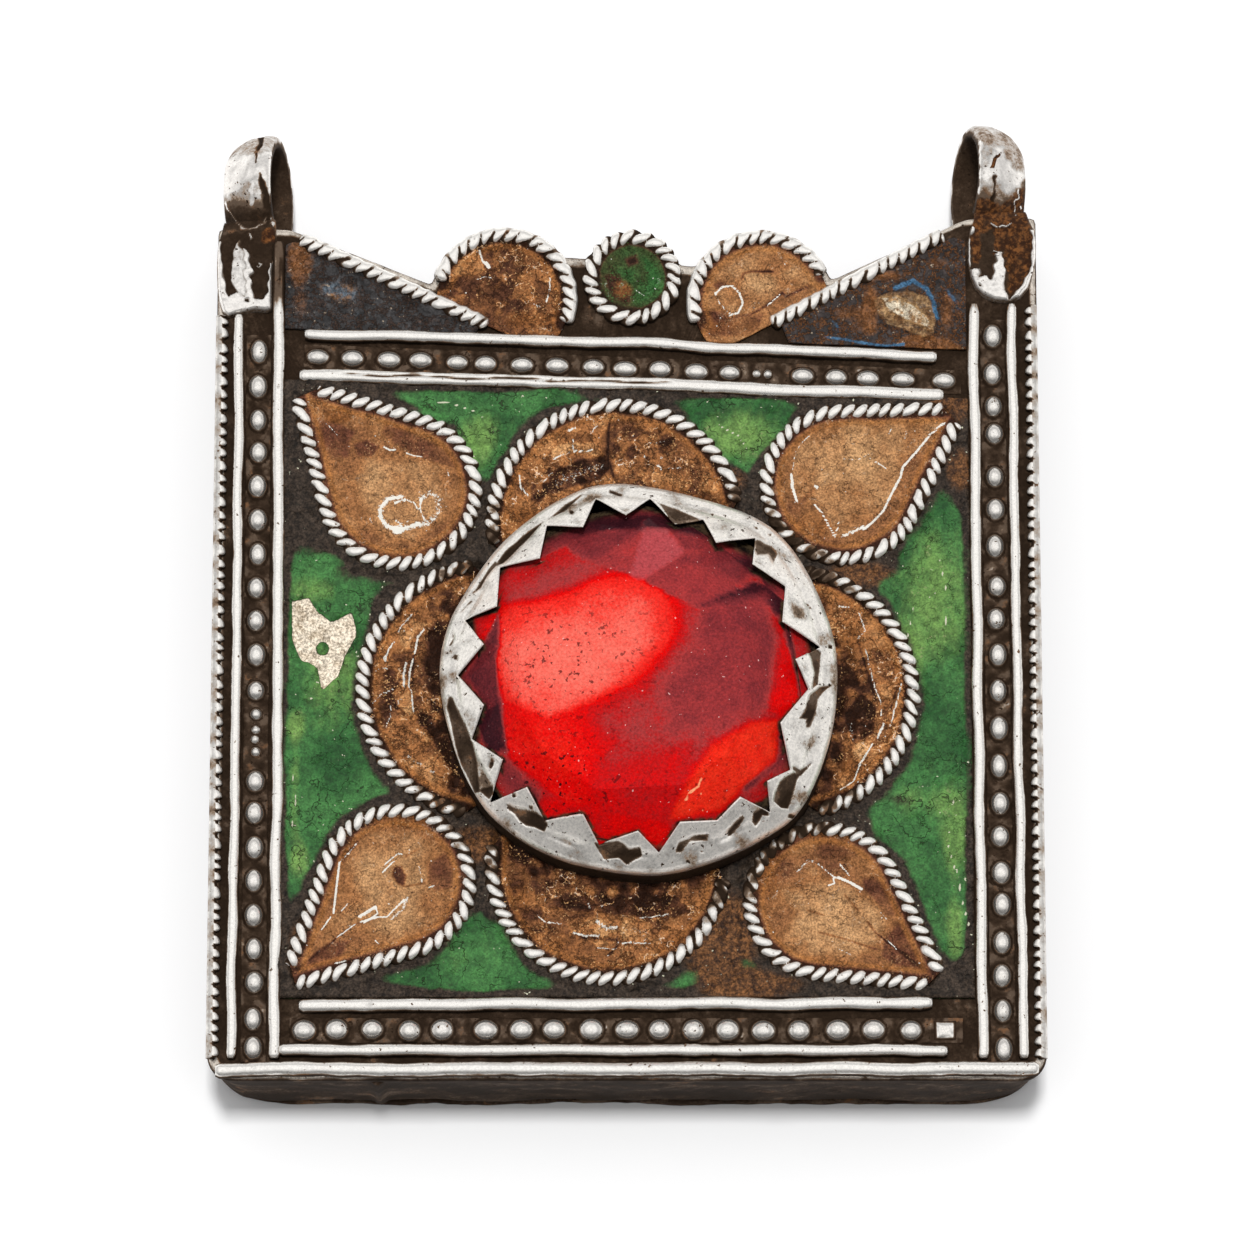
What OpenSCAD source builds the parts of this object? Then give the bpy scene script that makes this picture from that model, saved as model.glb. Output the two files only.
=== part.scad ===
// Square silver box pendant with a shaped crest, two strip bails, twisted wire cells filled with
// enamel, and a large red glass stone in a saw-tooth bezel. It lies on its back, face up.
// Drawn with x from the middle of the face and y up from the bottom edge, then centred.

/* [Case] */
// Width of the flat face
face_w = 51.8; // [51.2:0.1:52.4]
// Depth from the back to the face
case_d = 8.5; // [8:0.1:9.5]
// Thickness of the front and back plates
plate_t = 0.6; // [0.5:0.05:1]
// Thickness of the side strip
wall_t = 0.6; // [0.5:0.05:1]
// Height of the face at the left shoulder of the crest
left_shoulder = 54.8; // [54.6:0.1:55.2]
// Height of the face at the right shoulder of the crest
right_shoulder = 55.5; // [55.3:0.1:55.8]
// Radius of the two bottom corners
corner_r = 1.6; // [1:0.1:2.2]

/* [Wire] */
// Radius of the twisted wire round the enamel cells
rope_r = 0.45; // [0.35:0.01:0.46]
// Radius of the twisted wire along the left and right edges
edge_rope_r = 0.3; // [0.22:0.01:0.31]
// Radius of the plain wires
wire_r = 0.36; // [0.25:0.01:0.37]
// Radius of the wire along the bottom edge
edge_wire_r = 0.5; // [0.35:0.01:0.52]
// Length of one full turn of the twist
twist_pitch = 1.7; // [1.4:0.1:3]
// Radius of one bead of the beaded wire
bead_r = 0.62; // [0.5:0.01:0.64]
// Distance from one bead to the next
bead_pitch = 2.1; // [1.9:0.05:2.4]

/* [Stone and bezel] */
// Outer radius of the bezel
bezel_r = 12.2; // [11.9:0.1:12.3]
// Thickness of the bezel strip
bezel_t = 0.6; // [0.5:0.05:0.7]
// Height of the bezel wall above the face, up to where the teeth lean in
bezel_h = 3.6; // [3.2:0.1:4]
// Number of teeth cut in the bezel
teeth = 19; // [16:1:24]
// Height from the girdle to the table of the stone
crown_h = 3.6; // [3.2:0.1:4]
// Radius of the table of the stone
table_r = 5.4; // [4.5:0.1:6]

/* [Bails] */
// Outer radius of the bent strip
bail_r = 3.9; // [3.7:0.05:4]
// Thickness of the strip
strip_t = 0.8; // [0.7:0.05:0.8]
// Width of the strip
strip_w = 3.1; // [2.6:0.1:3.3]

/* [Enamel] */
// Thickness of the enamel in the cells
enamel_t = 0.4; // [0.3:0.05:0.5]
// Thickness of the green ground between the cells
ground_t = 0.28; // [0.2:0.02:0.4]

/* [Hidden] */
gap = 0.04;                       // between pieces that lie against each other
eps = 0.01;
arc_step = 15;                    // degrees from point to point on a drawn arc
seat_z = case_d + gap;            // what lies on the face starts here
rope_z = seat_z + rope_r;
cell_in = rope_r + 2 * gap;       // from a twisted wire's middle to the enamel beside it
wire_clear = wire_r + 2 * gap;    // and the same from a plain wire
strand_flat = 0.6;                // thickness of the twisted section, over its width
bead_core = 0.55;                 // radius of the neck between two beads, over a bead's
bead_stretch = 1.12;              // length of a bead, over its width
bead_facets = 5;                  // along a bead, from neck to neck

LEFT = -1;
RIGHT = 1;

// The plain and beaded wires that run up the sides: x at the bottom, x at the top, y where they end
SIDE_X0 = 0;
SIDE_X1 = 1;
SIDE_Y1 = 2;
side_bottom = 1.3;
left_edge_rope  = [-25.25, -25.25, 48.9];
left_outer      = [-24.55, -24.55, 48.9];
left_beads      = [-23.15, -23.30, 48.3];
left_inner      = [-21.90, -22.03, 53.7];
right_inner     = [21.80, 21.76, 49.6];
right_beads     = [23.20, 23.05, 49.2];
right_outer     = [24.46, 24.25, 49.6];
right_edge_rope = [25.18, 24.98, 49.6];

// The wires across: y at the left and y at the right
top_upper    = [47.75, 46.30];
top_beads    = [46.45, 44.80];
top_lower    = [45.05, 43.80];
bottom_upper = [4.75, 4.75];
bottom_beads = [3.20, 3.20];
bottom_lower = [1.80, 1.80];
cross_x = [-21.4, 21.3];
edge_wire_y = 0.62;

// Teardrop cells: middle and radius of the round end, then the two open ends at the corner
CELL_X = 0;
CELL_Y = 1;
CELL_R = 2;
TIP_A = 3;
TIP_B = 4;
tear_upper_left  = [-14.28, 37.44, 4.75, [-20.75, 43.45], [-19.50, 44.00]];
tear_upper_right = [13.52, 37.79, 4.78, [19.90, 42.72], [20.70, 41.85]];
tear_lower_left  = [-14.25, 12.37, 4.50, [-20.45, 5.91], [-20.80, 7.04]];
tear_lower_right = [12.19, 11.13, 4.60, [19.30, 6.65], [18.55, 5.90]];

// Lobes behind the stone: middle, radius, first and last angle of the arc
ARC_A0 = 3;
ARC_A1 = 4;
lobe_top    = [-0.74, 35.29, 7.70, 10, 190];
lobe_left   = [-8.49, 24.64, 8.00, 98, 259];
lobe_right  = [9.98, 24.43, 7.80, -76, 84];
lobe_bottom = [-1.19, 13.46, 7.20, 170, 353];

// Crest: the two roundels with the angles of their arcs, and the ring between them
roundel_left  = [-7.79, 50.00, 4.20, -22, 164];
roundel_right = [8.45, 49.77, 4.25, 25, 198];
crest_ring    = [0.32, 51.37, 2.65, 0, 360];
rim = 0.5;                        // from a crest wire's middle to the edge of the plate
crest_left  = [[-20.70, 53.92], [-8.80, 48.27]];
crest_right = [[20.00, 54.20], [9.10, 48.35]];
valley_left_y = 52.95;
valley_right_y = 52.30;
crest_foot_left_y = 51.1;         // where a roundel's rim meets the sloping edge
crest_foot_right_y = 51.4;
shoulder_left_x = -21.5;
shoulder_right_x = 21.6;

// Bezel and stone
bezel_c = [0.70, 24.35];
girdle_r = bezel_r - bezel_t - 0.15;
girdle_z = case_d + bezel_h - 0.1;
girdle_t = 0.4;
tooth_in = 2.55;                  // how far the tips reach in from the rim
tooth_up = 2.4;                   // and how far they rise
tooth_root = 1.15;                // from the rim to the root of a notch
tooth_t = 0.25;
rim_round = 0.3;
notch_over = 1.4;                 // how far the notches run on past the tips
crown_r = 8.9;                    // of the eight corners between the table and the girdle
crown_z = girdle_z + 0.67 * crown_h;
stone_bottom_z = seat_z + 0.3;
bare_ring = 1.8;                  // round the bezel, where the cells meet and no ground is laid

// Bails: the loop's middle in x and its turn about y, the tab's sides and lower end with its corner
// radius, and the shoulder that the strip is bent over
BAIL_X = 0;
BAIL_TURN = 1;
TAB_X0 = 2;
TAB_X1 = 3;
TAB_Y0 = 4;
TAB_R = 5;
SHOULDER = 6;
left_bail  = [-23.40, -7.1, -25.80, -22.50, 49.05, 0.45, left_shoulder];
right_bail = [23.15, 10.2, 21.50, 25.80, 49.95, 1.50, right_shoulder];
bail_over = 0.9;                  // from the face to the loop's highest line
bail_z = case_d + bail_over - bail_r;
eye_over = 0.05;                  // from the shoulder to the eye of the loop
loop_over = 0.7;                  // from the shoulder to the loop's two lower ends
tab_t = 0.55;
tab_rim = 0.3;                    // width and height of the raised rim and of the ribs
tab_over = 1.3;                   // how far the tab runs up past the shoulder into the loop

case_half_w = face_w / 2;
overall_y = bail_y(right_bail) + bail_r;

$fn = 48;

// Points on an arc, both ends included
function arc(c, r, a0, a1) =
    let (n = max(1, ceil(abs(a1 - a0) / arc_step)))
    [for (i = [0 : n]) let (a = a0 + (a1 - a0) * i / n) [c[0] + r * cos(a), c[1] + r * sin(a)]];

function angle_of(v) = atan2(v[1], v[0]);

// Where a straight line from p touches a circle, on the side given by turn (1 or -1)
function touch_angle(p, c, r, turn) = angle_of(p - c) + turn * acos(r / norm(p - c));

// A teardrop from one open end round to the other, anticlockwise
function teardrop(row) =
    let (
        c = [row[CELL_X], row[CELL_Y]],
        a0 = touch_angle(row[TIP_A], c, row[CELL_R], 1),
        a1 = touch_angle(row[TIP_B], c, row[CELL_R], -1),
        sweep = (a1 - a0 + 720) % 360
    )
    concat([row[TIP_A]], arc(c, row[CELL_R], a0, a0 + sweep), [row[TIP_B]]);

function arc_row(row) = arc([row[CELL_X], row[CELL_Y]], row[CELL_R], row[ARC_A0], row[ARC_A1]);

// The middle of a loop, with its eye just clear of the shoulder
function bail_y(row) = row[SHOULDER] + eye_over + bail_r - strip_t;

function unit(v) = v / norm(v);
function outward(a, b) = let (t = unit(b - a)) [t[1], -t[0]];

// A closed anticlockwise outline moved out by d, or in where d is below 0, with mitred corners
function grown(pts, d) =
    let (n = len(pts))
    [for (i = [0 : n - 1])
        let (
            before = outward(pts[(i + n - 1) % n], pts[i]),
            after = outward(pts[i], pts[(i + 1) % n])
        )
        pts[i] + d * (before + after) / (1 + before * after)];

// The angle at which a circle meets a level line, on the right (side 1) or the left (side -1)
function level_angle(row, extra, y, side) =
    let (a = asin((y - row[CELL_Y]) / (row[CELL_R] + extra))) side > 0 ? a : 180 - a;

function crest_arc(row, y_right, y_left) =
    arc([row[CELL_X], row[CELL_Y]], row[CELL_R] + rim,
        level_angle(row, rim, y_right, 1), level_angle(row, rim, y_left, -1));

// Outline of the case, anticlockwise from the bottom left corner
function case_outline() = concat(
    arc([-case_half_w + corner_r, corner_r], corner_r, 180, 270),
    arc([case_half_w - corner_r, corner_r], corner_r, 270, 360),
    [[case_half_w, right_shoulder], [shoulder_right_x, right_shoulder]],
    crest_arc(roundel_right, crest_foot_right_y, valley_right_y),
    crest_arc(crest_ring, valley_right_y, valley_left_y),
    crest_arc(roundel_left, valley_left_y, crest_foot_left_y),
    [[shoulder_left_x, left_shoulder], [-case_half_w, left_shoulder]]
);

module flat(pts, z0, z1) {
    translate([0, 0, z0]) linear_extrude(z1 - z0) polygon(pts);
}

// Twisted wire along a path of (x, y) points at height z: a four-cornered section that turns as it goes
module twisted_wire(path, z, r, closed = false) {
    sides = 4;
    steps_per_turn = 6;
    n_pts = len(path);
    run = [for (i = 0, s = 0; i < n_pts; s = s + norm(path[min(i + 1, n_pts - 1)] - path[i]), i = i + 1) s];
    xs = [for (i = [0 : n_pts - 1]) [run[i], path[i][0]]];
    ys = [for (i = [0 : n_pts - 1]) [run[i], path[i][1]]];
    total = run[n_pts - 1];
    turns = max(1, round(total / twist_pitch));
    rings = turns * steps_per_turn;
    step = total / rings;
    function at(s) = [lookup(s, xs), lookup(s, ys)];
    function wrap(s) = closed ? (s + total) % total : s;
    function ring(i) =
        let (
            s = i * step,
            t = unit(at(min(wrap(s + step / 2), total)) - at(max(wrap(s - step / 2), 0))),
            turn = -360 * i / steps_per_turn
        )
        [for (k = [0 : sides - 1])
            let (
                a = 360 * k / sides,
                u = r * cos(a),
                v = strand_flat * r * sin(a),
                side = u * cos(turn) - v * sin(turn),
                up = u * sin(turn) + v * cos(turn)
            )
            [at(s)[0] - side * t[1], at(s)[1] + side * t[0], z + up]];
    last = closed ? rings - 1 : rings;
    points = [for (i = [0 : last]) each ring(i)];
    n = len(points);
    skin = [for (i = [0 : rings - 1], k = [0 : sides - 1])
        let (
            a = i * sides + k,
            b = i * sides + (k + 1) % sides,
            c = (a + sides) % n,
            d = (b + sides) % n
        )
        each [[a, b, d], [a, d, c]]];
    caps = closed ? [] : [[for (k = [sides - 1 : -1 : 0]) k], [for (k = [0 : sides - 1]) n - sides + k]];
    polyhedron(points, concat(skin, caps), convexity = 8);
}

module plain_wire(p0, p1, r) {
    run = p1 - p0;
    translate([p0[0], p0[1], seat_z + r]) rotate([0, 0, angle_of(run)]) rotate([0, 90, 0])
        cylinder(r = r, h = norm(run));
}

// Beaded wire: one turned shape, with a short neck between each bead and the next
module bead_row(p0, p1) {
    run = norm(p1 - p0);
    count = floor(run / bead_pitch);
    neck_r = bead_core * bead_r;
    neck_a = asin(bead_core);
    beads = [for (i = [0 : count - 1], k = [0 : bead_facets])
        let (a = 180 - neck_a - (180 - 2 * neck_a) * k / bead_facets)
        [bead_r * sin(a), (i + 0.5) * run / count + bead_stretch * bead_r * cos(a)]];
    translate([p0[0], p0[1], seat_z + bead_r]) rotate([0, 0, angle_of(p1 - p0)]) rotate([0, 90, 0])
        rotate_extrude() polygon(concat([[0, 0], [neck_r, 0]], beads, [[neck_r, run], [0, run]]));
}

function cross_y(row, x) = row[0] + (row[1] - row[0]) * (x - cross_x[0]) / (cross_x[1] - cross_x[0]);
function side_ends(row) = [[row[SIDE_X0], side_bottom], [row[SIDE_X1], row[SIDE_Y1]]];
function cross_ends(row) = [[cross_x[0], row[0]], [cross_x[1], row[1]]];

module back_plate() {
    color("dimgray") flat(case_outline(), 0, plate_t);
}

module side_wall() {
    color("slategray") difference() {
        flat(case_outline(), plate_t + gap, case_d - plate_t - gap);
        flat(grown(case_outline(), -wall_t), 0, case_d);
    }
}

module front_plate() {
    color("darkgray") flat(case_outline(), case_d - plate_t, case_d);
}

module bottom_edge_wire() {
    end_x = case_half_w - corner_r / 2;
    color("silver") plain_wire([-end_x, edge_wire_y], [end_x, edge_wire_y], edge_wire_r);
}

module side_wire(row) { color("silver") plain_wire(side_ends(row)[0], side_ends(row)[1], wire_r); }
module side_rope(row) { color("silver") twisted_wire(side_ends(row), seat_z + edge_rope_r, edge_rope_r); }
module side_beads(row) { color("gainsboro") bead_row(side_ends(row)[0], side_ends(row)[1]); }
module cross_wire(row) { color("silver") plain_wire(cross_ends(row)[0], cross_ends(row)[1], wire_r); }
module cross_beads(row) { color("gainsboro") bead_row(cross_ends(row)[0], cross_ends(row)[1]); }
module rope(path, closed = false) { color("silver") twisted_wire(path, rope_z, rope_r, closed); }

module tear_enamel(row) {
    color("chocolate") flat(grown(teardrop(row), -cell_in), seat_z, seat_z + enamel_t);
}

// A lobe's enamel is its disc, less what the bezel covers
module lobe_enamel(row) {
    color("saddlebrown") difference() {
        translate([row[CELL_X], row[CELL_Y], seat_z]) cylinder(r = row[CELL_R] - cell_in, h = enamel_t);
        translate([bezel_c[0], bezel_c[1], case_d]) cylinder(r = bezel_r + 3 * gap, h = 2 * enamel_t);
    }
}

// Square to a crest wire, away from the field below it
function crest_up(line, side) = let (along = unit(line[0] - line[1])) side * [-along[1], along[0]];

// The part of the crest that lies above a crest wire and above that wire's lower end
module above_crest(line, side) {
    off = crest_up(line, side) * cell_in;
    foot = line[1] + off;
    middle = crest_ring[CELL_X];
    flat([foot, [middle, foot[1]], [middle, right_shoulder], line[0] + off], case_d, seat_z + 2 * enamel_t);
}

module roundel_enamel(row, line, side) {
    color("saddlebrown") intersection() {
        translate([row[CELL_X], row[CELL_Y], seat_z]) cylinder(r = row[CELL_R] - cell_in, h = enamel_t);
        above_crest(line, side);
    }
}

module crest_ring_enamel() {
    color("olivedrab") translate([crest_ring[CELL_X], crest_ring[CELL_Y], seat_z])
        cylinder(r = crest_ring[CELL_R] - cell_in, h = enamel_t);
}

// Where two straight lines meet, each given by two points
function crossing(a, b) =
    let (
        u = a[1] - a[0],
        v = b[1] - b[0],
        w = b[0] - a[0],
        k = (w[0] * v[1] - w[1] * v[0]) / (u[0] * v[1] - u[1] * v[0])
    )
    a[0] + k * u;

// The three-cornered field between the side wire, the wire across and a crest wire
module corner_enamel(line, side) {
    off = crest_up(line, side) * cell_in;
    inner_x = (side == LEFT ? left_inner : right_inner)[SIDE_X1] - side * wire_clear;
    floor = [for (x = cross_x) [x, cross_y(top_upper, x) + wire_clear]];
    roof = [line[0] - off, line[1] - off];
    upright = [[inner_x, 0], [inner_x, 1]];
    color(side == LEFT ? "darkslategray" : "maroon")
        flat([crossing(upright, floor), crossing(roof, floor), crossing(roof, upright)],
             seat_z, seat_z + ground_t);
}

// Corners of the enamelled field inside the wires, anticlockwise from the bottom left
field_corners = [
    [left_inner[SIDE_X0] + wire_clear, bottom_upper[0] + wire_clear],
    [right_inner[SIDE_X0] - wire_clear, bottom_upper[1] + wire_clear],
    [right_inner[SIDE_X1] - wire_clear, top_lower[1] - wire_clear],
    [left_inner[SIDE_X1] + wire_clear, top_lower[0] - wire_clear]
];

// One of the four pieces of ground: the triangle from two corners to the stone, less the cells on
// it. Each teardrop is carried on to its corner, where its wire ends meet.
module ground_enamel(corner, tears, disc) {
    ends = [for (i = [0, 1]) field_corners[(corner + i) % 4]];
    low = case_d - eps;
    high = seat_z + 2 * ground_t;
    color("seagreen") difference() {
        flat(grown(concat(ends, [bezel_c]), -gap / 2), seat_z, seat_z + ground_t);
        for (i = [0, 1]) flat(grown(concat(teardrop(tears[i]), [ends[i]]), cell_in), low, high);
        translate([disc[CELL_X], disc[CELL_Y], low]) cylinder(r = disc[CELL_R] + cell_in, h = high - low);
        translate([bezel_c[0], bezel_c[1], low]) cylinder(r = bezel_r + bare_ring, h = high - low);
    }
}

// Strip bent round the stone, with a row of teeth leaning in over it
module bezel() {
    root_z = case_d + bezel_h;
    half_pitch = notch_over * (bezel_r - tooth_in) * sin(180 / teeth);
    depth = notch_over * (tooth_in - tooth_root);
    color("gainsboro") translate([bezel_c[0], bezel_c[1], 0]) difference() {
        rotate_extrude() polygon([
            [bezel_r - bezel_t, seat_z], [bezel_r, seat_z],
            [bezel_r, root_z - rim_round], [bezel_r - rim_round, root_z + rim_round],
            [bezel_r - tooth_in, root_z + tooth_up],
            [bezel_r - tooth_in - tooth_t, root_z + tooth_up - tooth_t],
            [bezel_r - bezel_t, root_z]
        ]);
        for (i = [0 : teeth - 1])
            rotate([0, 0, (i + 0.5) * 360 / teeth]) translate([bezel_r - tooth_root, 0, root_z - rim_round])
                linear_extrude(2 * tooth_up) polygon([[0, 0], [-depth, half_pitch], [-depth, -half_pitch]]);
    }
}

// Cut glass: eight-sided table, eight stars, eight kites, sixteen girdle facets, closed below
module stone() {
    half = 22.5;
    function at(r, a, z) = [r * cos(a), r * sin(a), z];
    table = [for (i = [0 : 7]) at(table_r, 45 * i, girdle_z + crown_h)];
    mid = [for (i = [0 : 7]) at(crown_r, 45 * i + half, crown_z)];
    girdle = [for (i = [0 : 15]) at(girdle_r, half * i, girdle_z)];
    edge = [for (i = [0 : 15]) at(girdle_r, half * i, girdle_z - girdle_t)];
    points = concat(table, mid, girdle, edge, [[0, 0, stone_bottom_z]]);
    faces = concat(
        [[7, 6, 5, 4, 3, 2, 1, 0]],
        [for (i = [0 : 7])
            let (n = (i + 1) % 8, p = (i + 7) % 8, g = 16 + 2 * i, h = g + 1, f = 16 + (2 * i + 2) % 16)
            each [[i, n, 8 + i], [i, 8 + i, g], [i, g, 8 + p], [8 + i, h, g], [8 + i, f, h]]],
        [for (i = [0 : 15]) let (n = (i + 1) % 16)
            each [[16 + i, 16 + n, 32 + n], [16 + i, 32 + n, 32 + i], [32 + i, 32 + n, 48]]]
    );
    color("crimson") translate([bezel_c[0], bezel_c[1], 0]) polyhedron(points, faces, convexity = 4);
}

function rounded_box(x0, x1, y0, y1, r) = concat(
    arc([x0 + r, y0 + r], r, 180, 270), arc([x1 - r, y0 + r], r, 270, 360),
    arc([x1 - r, y1 - r], r, 0, 90), arc([x0 + r, y1 - r], r, 90, 180));

// A round bar across a bail, as long as len, on the middle of its loop
module across_loop(row, r, len) {
    translate([row[BAIL_X], bail_y(row), bail_z]) rotate([0, row[BAIL_TURN], 0])
        rotate([0, 90, 0]) cylinder(r = r, h = len, center = true);
}

// A strip bent into a loop, with a tab that lies on the face, a raised rim round it and two ribs
module bail(row) {
    cut_y = row[SHOULDER] + loop_over;
    tab_y1 = row[SHOULDER] + tab_over;
    tab = rounded_box(row[TAB_X0], row[TAB_X1], row[TAB_Y0], tab_y1, row[TAB_R]);
    mid_x = (row[TAB_X0] + row[TAB_X1]) / 2;
    tab_top = seat_z + tab_t;
    color("lightgray") difference() {
        union() {
            across_loop(row, bail_r, strip_w);
            flat(tab, seat_z, tab_top);
            difference() {
                flat(tab, seat_z, tab_top + tab_rim);
                flat(grown(tab, -tab_rim), seat_z, tab_top + 1);
            }
            for (x = [-tab_rim, tab_rim])
                translate([mid_x + x, row[TAB_Y0] + tab_rim, tab_top]) rotate([-90, 0, 0])
                    cylinder(r = tab_rim, h = tab_y1 - row[TAB_Y0] - 3 * tab_rim);
        }
        across_loop(row, bail_r - strip_t, 3 * strip_w);
        translate([row[TAB_X0] - strip_w, cut_y - 3 * bail_r, 0]) cube([4 * strip_w, 3 * bail_r, seat_z]);
    }
}

// The part's origin is at the middle of its length and width, level with its back
module placed() {
    translate([0, -overall_y / 2, 0]) children();
}

placed() back_plate();
placed() side_wall();
placed() front_plate();
placed() bottom_edge_wire();
placed() side_rope(left_edge_rope);  // edge_rope_left
placed() side_rope(right_edge_rope);  // edge_rope_right
placed() side_wire(left_outer);  // left_outer_wire
placed() side_wire(left_inner);  // left_inner_wire
placed() side_wire(right_inner);  // right_inner_wire
placed() side_wire(right_outer);  // right_outer_wire
placed() side_beads(left_beads);  // left_bead_row
placed() side_beads(right_beads);  // right_bead_row
placed() cross_beads(top_beads);  // top_bead_row
placed() cross_beads(bottom_beads);  // bottom_bead_row
placed() cross_wire(top_upper);  // top_upper_wire
placed() cross_wire(top_lower);  // top_lower_wire
placed() cross_wire(bottom_upper);  // bottom_upper_wire
placed() cross_wire(bottom_lower);  // bottom_lower_wire
placed() rope(crest_left);  // crest_rope_left
placed() rope(crest_right);  // crest_rope_right
placed() rope(arc_row(roundel_left));  // roundel_rope_left
placed() rope(arc_row(roundel_right));  // roundel_rope_right
placed() rope(arc_row(crest_ring), closed = true);  // crest_ring_rope
placed() rope(teardrop(tear_upper_left));  // tear_rope_upper_left
placed() rope(teardrop(tear_upper_right));  // tear_rope_upper_right
placed() rope(teardrop(tear_lower_left));  // tear_rope_lower_left
placed() rope(teardrop(tear_lower_right));  // tear_rope_lower_right
placed() rope(arc_row(lobe_top));  // lobe_rope_top
placed() rope(arc_row(lobe_left));  // lobe_rope_left
placed() rope(arc_row(lobe_right));  // lobe_rope_right
placed() rope(arc_row(lobe_bottom));  // lobe_rope_bottom
placed() tear_enamel(tear_upper_left);  // tear_enamel_upper_left
placed() tear_enamel(tear_upper_right);  // tear_enamel_upper_right
placed() tear_enamel(tear_lower_left);  // tear_enamel_lower_left
placed() tear_enamel(tear_lower_right);  // tear_enamel_lower_right
placed() lobe_enamel(lobe_top);  // lobe_enamel_top
placed() lobe_enamel(lobe_left);  // lobe_enamel_left
placed() lobe_enamel(lobe_right);  // lobe_enamel_right
placed() lobe_enamel(lobe_bottom);  // lobe_enamel_bottom
placed() roundel_enamel(roundel_left, crest_left, LEFT);  // roundel_enamel_left
placed() roundel_enamel(roundel_right, crest_right, RIGHT);  // roundel_enamel_right
placed() crest_ring_enamel();
placed() corner_enamel(crest_left, LEFT);  // corner_enamel_left
placed() corner_enamel(crest_right, RIGHT);  // corner_enamel_right
placed() ground_enamel(0, [tear_lower_left, tear_lower_right], lobe_bottom);  // ground_enamel_bottom
placed() ground_enamel(1, [tear_lower_right, tear_upper_right], lobe_right);  // ground_enamel_right
placed() ground_enamel(2, [tear_upper_right, tear_upper_left], lobe_top);  // ground_enamel_top
placed() ground_enamel(3, [tear_upper_left, tear_lower_left], lobe_left);  // ground_enamel_left
placed() bezel();
placed() stone();
placed() bail(left_bail);  // bail_left
placed() bail(right_bail);  // bail_right
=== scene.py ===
"""Looks of a square silver pendant with enamelled cells and a red glass stone.

Sizes are in millimetres: x from the middle of the face, y up from its bottom edge, z up from its
back. put() turns them into the frame's metres.
"""
import math

import bmesh
import bpy
import numpy as np
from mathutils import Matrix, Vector


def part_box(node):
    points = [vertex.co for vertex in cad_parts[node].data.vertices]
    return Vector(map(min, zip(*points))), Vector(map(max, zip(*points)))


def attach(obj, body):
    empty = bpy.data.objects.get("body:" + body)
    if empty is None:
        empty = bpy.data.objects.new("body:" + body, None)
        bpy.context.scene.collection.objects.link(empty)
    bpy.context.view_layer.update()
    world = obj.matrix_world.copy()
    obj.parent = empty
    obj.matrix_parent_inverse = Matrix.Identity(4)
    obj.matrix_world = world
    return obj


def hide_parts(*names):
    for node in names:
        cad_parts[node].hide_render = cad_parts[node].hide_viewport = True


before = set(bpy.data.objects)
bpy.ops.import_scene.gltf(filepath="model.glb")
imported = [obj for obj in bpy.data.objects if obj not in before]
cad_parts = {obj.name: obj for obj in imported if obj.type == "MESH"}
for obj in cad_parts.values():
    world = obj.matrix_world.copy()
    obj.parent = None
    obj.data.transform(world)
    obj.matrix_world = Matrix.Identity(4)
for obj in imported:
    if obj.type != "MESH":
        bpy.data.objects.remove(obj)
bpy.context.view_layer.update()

# Stage: white floor, a sky that is bright overhead and low down, dimmer between and on the near
# side, one lamp two metres up beyond the crest, and a camera that looks down on the face from 14
# degrees towards the bottom edge.
MM = 0.001
base_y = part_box("back_plate")[0].y / MM


def put(spots):
    """Points in millimetres from the bottom edge, as metres in the frame."""
    return (np.asarray(spots, float) + [0, base_y, 0]) * MM


class Value:
    """What comes out of a node. A sum, difference or product of it is a node of its own."""

    def __init__(self, paint, node, output=0):
        self.paint = paint
        self.socket = node.outputs[output]

    def __add__(self, other):
        return self.paint.math("ADD", self, other)

    def __sub__(self, other):
        return self.paint.math("SUBTRACT", self, other)

    def __mul__(self, other):
        return self.paint.math("MULTIPLY", self, other)


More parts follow.
